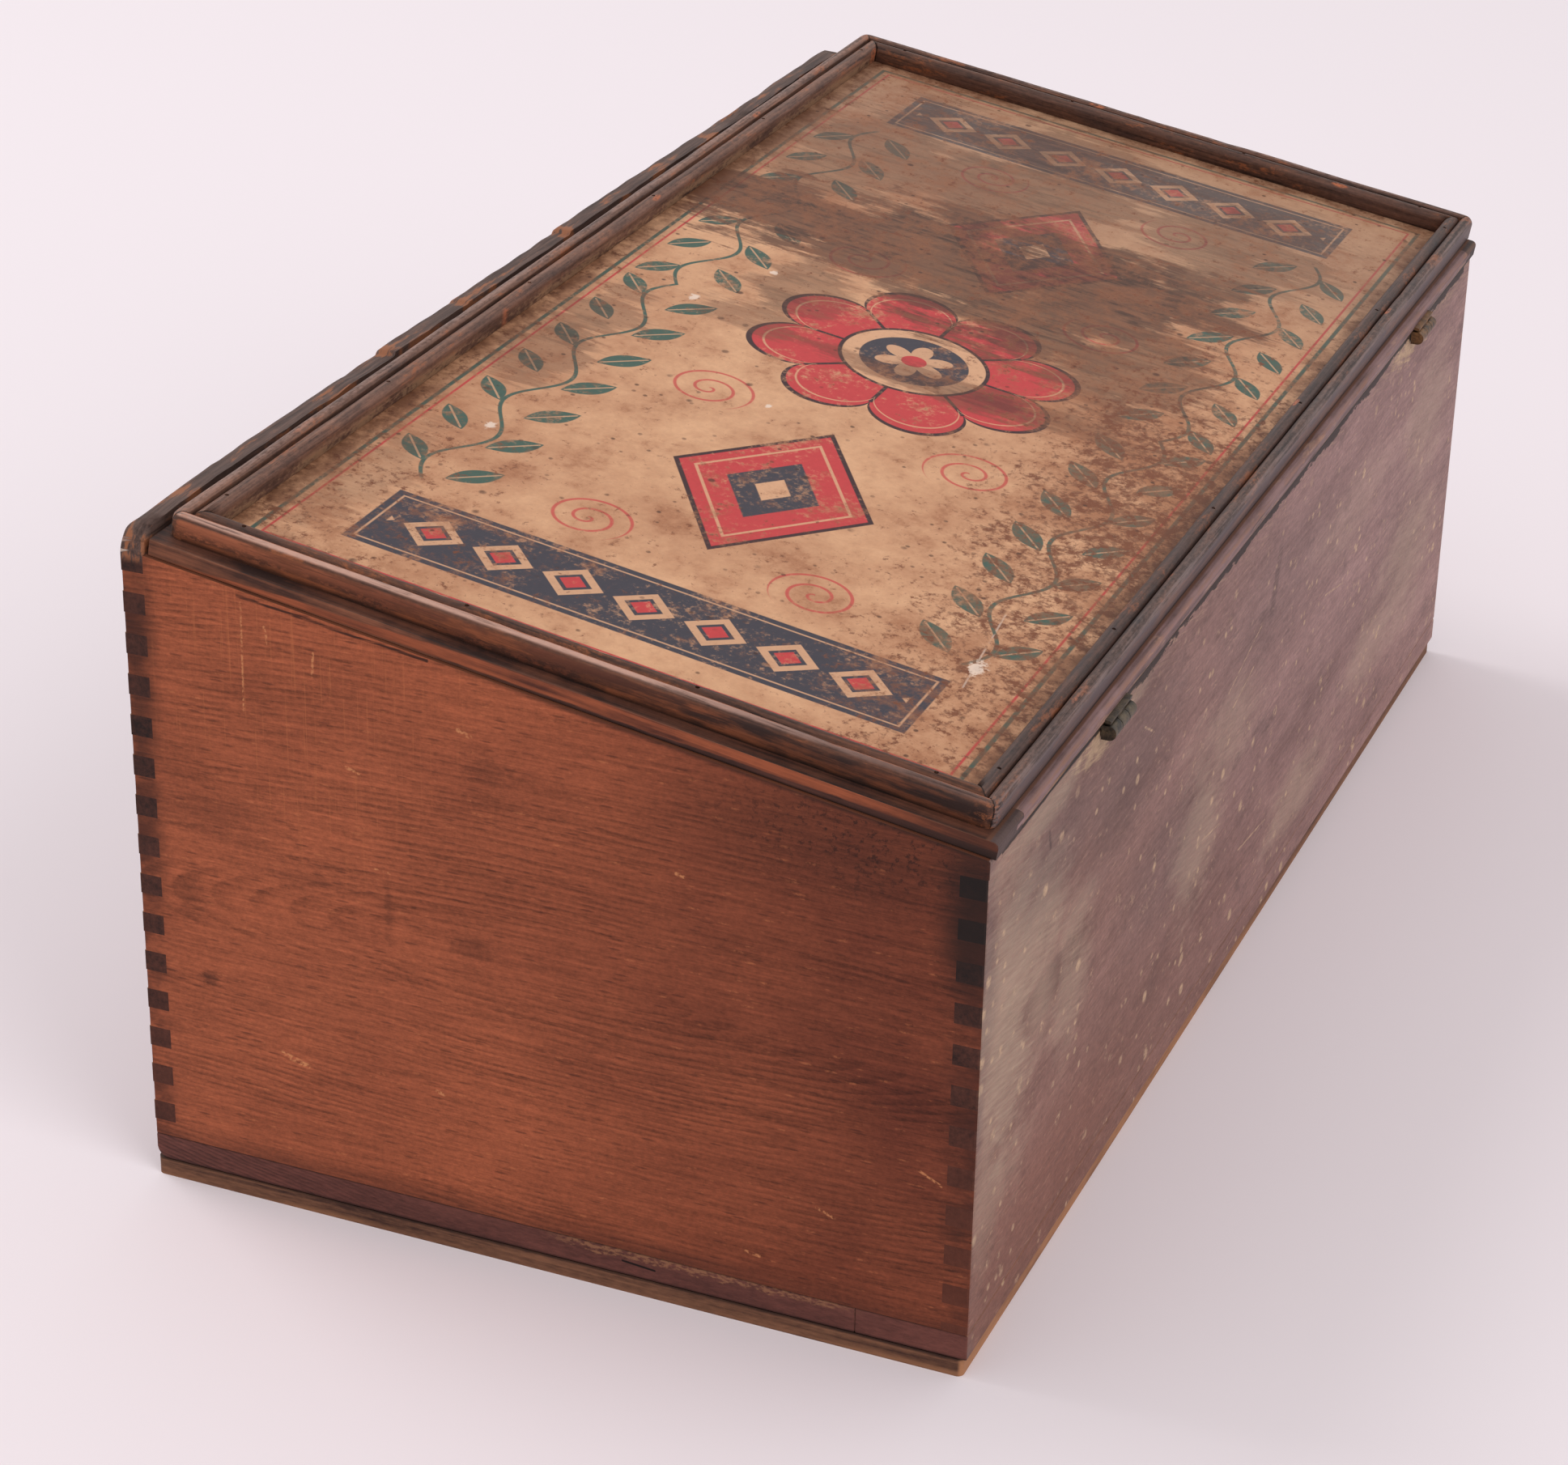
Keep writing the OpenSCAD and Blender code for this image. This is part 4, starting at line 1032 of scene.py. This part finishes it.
def make_mouldings():
    pitch, margin = 7, 10
    for side, name in (("near", "near"), ("far", "far"), ("hinge", "hinge_side"), ("tall", "tall_side")):
        node = "moulding_" + name
        mesh = copy_of(node)
        for vert in mesh.verts:
            vert.co = to_lid(vert.co)
        short = side in ("near", "far")
        low, high = (FRAME_V0, FRAME_V1) if short else (FRAME_U0, FRAME_U1)
        stops = [low + i for i in range(1, 6)] + [high - i for i in range(1, 6)]
        stops += [low + margin + pitch * i for i in range(int((high - low - 2 * margin) / pitch) + 1)]
        slice_at(mesh, (0, 1, 0) if short else (1, 0, 0), stops)
        for vert in mesh.verts:
            spot = vert.co
            round_frame(spot)
            along = spot.y if short else spot.x
            lift = max(0, spot.z - LID_W1 - 2) / MOULD_H
            spot.z += lift * rough(along * 0.03, 5 if short else 8, 2) * 0.3
            spot.z -= lift * max(0, rough(spot.x * 0.12, spot.y * 0.12, 21) - 0.3) * 1.4
            vert.co = from_lid(*spot)
        put(mesh, node, "lid", moulding_paint(node + " paint", side), 40)


def plate_point(part_u, part_v, base, swell):
    """A point of the plate, which swells a little away from the frame."""
    u = PLATE_U + PLATE_HALF_U * (2 * part_u - 1)
    v = PLATE_V + PLATE_HALF_V * (2 * part_v - 1)
    rim = min(PLATE_HALF_U - abs(u - PLATE_U), PLATE_HALF_V - abs(v - PLATE_V))
    wave = 0.5 + rough(u * 0.012, v * 0.016, 31) * 0.5
    return from_lid(u, v, base + share_of(rim, 3, 19) * wave * swell)


def make_plate():
    """The tin plate, a little wavy."""
    count_u, count_v = 101, 46
    mesh = bmesh.new()

    def sheet(base, swell):
        return [[mesh.verts.new(plate_point(i / count_u, j / count_v, base, swell))
                 for j in range(count_v + 1)] for i in range(count_u + 1)]

    under, over = sheet(PLATE_W - PLATE_T, 0), sheet(PLATE_W, 0.34)
    for i in range(count_u):
        for j in range(count_v):
            mesh.faces.new((over[i][j], over[i + 1][j], over[i + 1][j + 1], over[i][j + 1]))
            mesh.faces.new((under[i][j], under[i][j + 1], under[i + 1][j + 1], under[i + 1][j]))
    ring = [(i, 0) for i in range(count_u)] + [(count_u, j) for j in range(count_v)]
    ring += [(i, count_v) for i in range(count_u, 0, -1)] + [(0, j) for j in range(count_v, 0, -1)]
    for (i, j), (k, m) in zip(ring, ring[1:] + ring[:1]):
        mesh.faces.new((under[i][j], under[k][m], over[k][m], over[i][j]))
    put(mesh, "sign_plate", "lid", plate_paint())


def dress(node, material):
    """Give a node of the construction its material."""
    data = nodes[node].data
    data.materials.clear()
    data.materials.append(material)


def make_small_parts():
    wood = divider_paint()
    for node in ["divider_long"] + ["divider_cross_%d" % i for i in range(1, 7)]:
        dress(node, wood)
    for name, base, worn in (("near", (40, 34, 29), (104, 88, 68)), ("far", (52, 38, 28), (150, 106, 66))):
        paint = brass_paint(name + " hinge brass", base, worn)
        for piece in ("wall_leaf", "lid_leaf", "pin"):
            dress("%s_hinge_%s" % (name, piece), paint)
    steel = steel_paint()
    for node in ("hinge_wall_screws", "hinge_lid_screws", "moulding_brads", "bottom_nails"):
        dress(node, steel)


# Camera, floor and light, in metres

def make_camera():
    """The photograph's viewpoint, solved from the box's straight edges."""
    data = bpy.data.cameras.new("camera")
    data.lens = 89.667
    data.sensor_width = 36.0
    data.clip_start, data.clip_end = 0.05, 20.0
    camera = bpy.data.objects.new("camera", data)
    bpy.context.scene.collection.objects.link(camera)
    camera.location = (1.1072007, 0.4129997, 0.6382483)
    camera.rotation_euler = [math.radians(turn) for turn in (63.714285, -1.032849, 112.567961)]
    bpy.context.scene.camera = camera


def make_floor():
    half = 6
    mesh = bpy.data.meshes.new("floor")
    points = [(-half, -half, 0), (half, -half, 0), (half, half, 0), (-half, half, 0)]
    mesh.from_pydata(points, [], [(0, 1, 2, 3)])
    floor = bpy.data.objects.new("floor", mesh)
    bpy.context.scene.collection.objects.link(floor)
    paint = bpy.data.materials.new("floor paper")
    paint.use_nodes = True
    shader = paint.node_tree.nodes["Principled BSDF"]
    shader.inputs["Base Color"].default_value = rgb(239, 230, 235)
    shader.inputs["Roughness"].default_value = 1.0
    shader.inputs["Specular IOR Level"].default_value = 0.0
    mesh.materials.append(paint)


def make_world():
    """White where it is seen or mirrored, and a softer fill for the light it gives."""
    world = bpy.data.worlds.new("world")
    bpy.context.scene.world = world
    world.use_nodes = True
    tree = world.node_tree
    seen = tree.nodes["Background"]
    seen.inputs["Color"].default_value = (1, 1, 1, 1)
    fill = tree.nodes.new("ShaderNodeBackground")
    fill.inputs["Color"].default_value = (1.0, 0.985, 0.985, 1)
    fill.inputs["Strength"].default_value = 0.7
    path = tree.nodes.new("ShaderNodeLightPath")
    choice = path.outputs["Is Camera Ray"]
    for kind in ("Is Glossy Ray", "Is Transmission Ray"):
        either = tree.nodes.new("ShaderNodeMath")
        either.operation = "MAXIMUM"
        tree.links.new(choice, either.inputs[0])
        tree.links.new(path.outputs[kind], either.inputs[1])
        choice = either.outputs[0]
    choose = tree.nodes.new("ShaderNodeMixShader")
    for socket, source in zip(choose.inputs, (choice, fill.outputs[0], seen.outputs[0])):
        tree.links.new(source, socket)
    tree.links.new(choose.outputs[0], tree.nodes["World Output"].inputs["Surface"])


def make_lights():
    target = Vector((0, 0, 0.1))
    for name, place, size, power in (("key", (-0.3, -2.4, 3.0), 2.0, 42), ("side", (1.3, 2.4, 2.1), 2.2, 34)):
        data = bpy.data.lights.new(name, "AREA")
        data.shape = "DISK"
        data.size = size
        data.energy = power
        data.color = (1.0, 0.99, 0.98)
        light = bpy.data.objects.new(name, data)
        bpy.context.scene.collection.objects.link(light)
        light.location = place
        light.rotation_euler = (target - Vector(place)).to_track_quat("-Z", "Y").to_euler()


make_ends()
make_low_wall()
make_tall_wall()
make_base()
make_lid_boards()
make_mouldings()
make_plate()
make_small_parts()
make_camera()
make_floor()
make_world()
make_lights()
bpy.context.scene.view_settings.view_transform = "Standard"
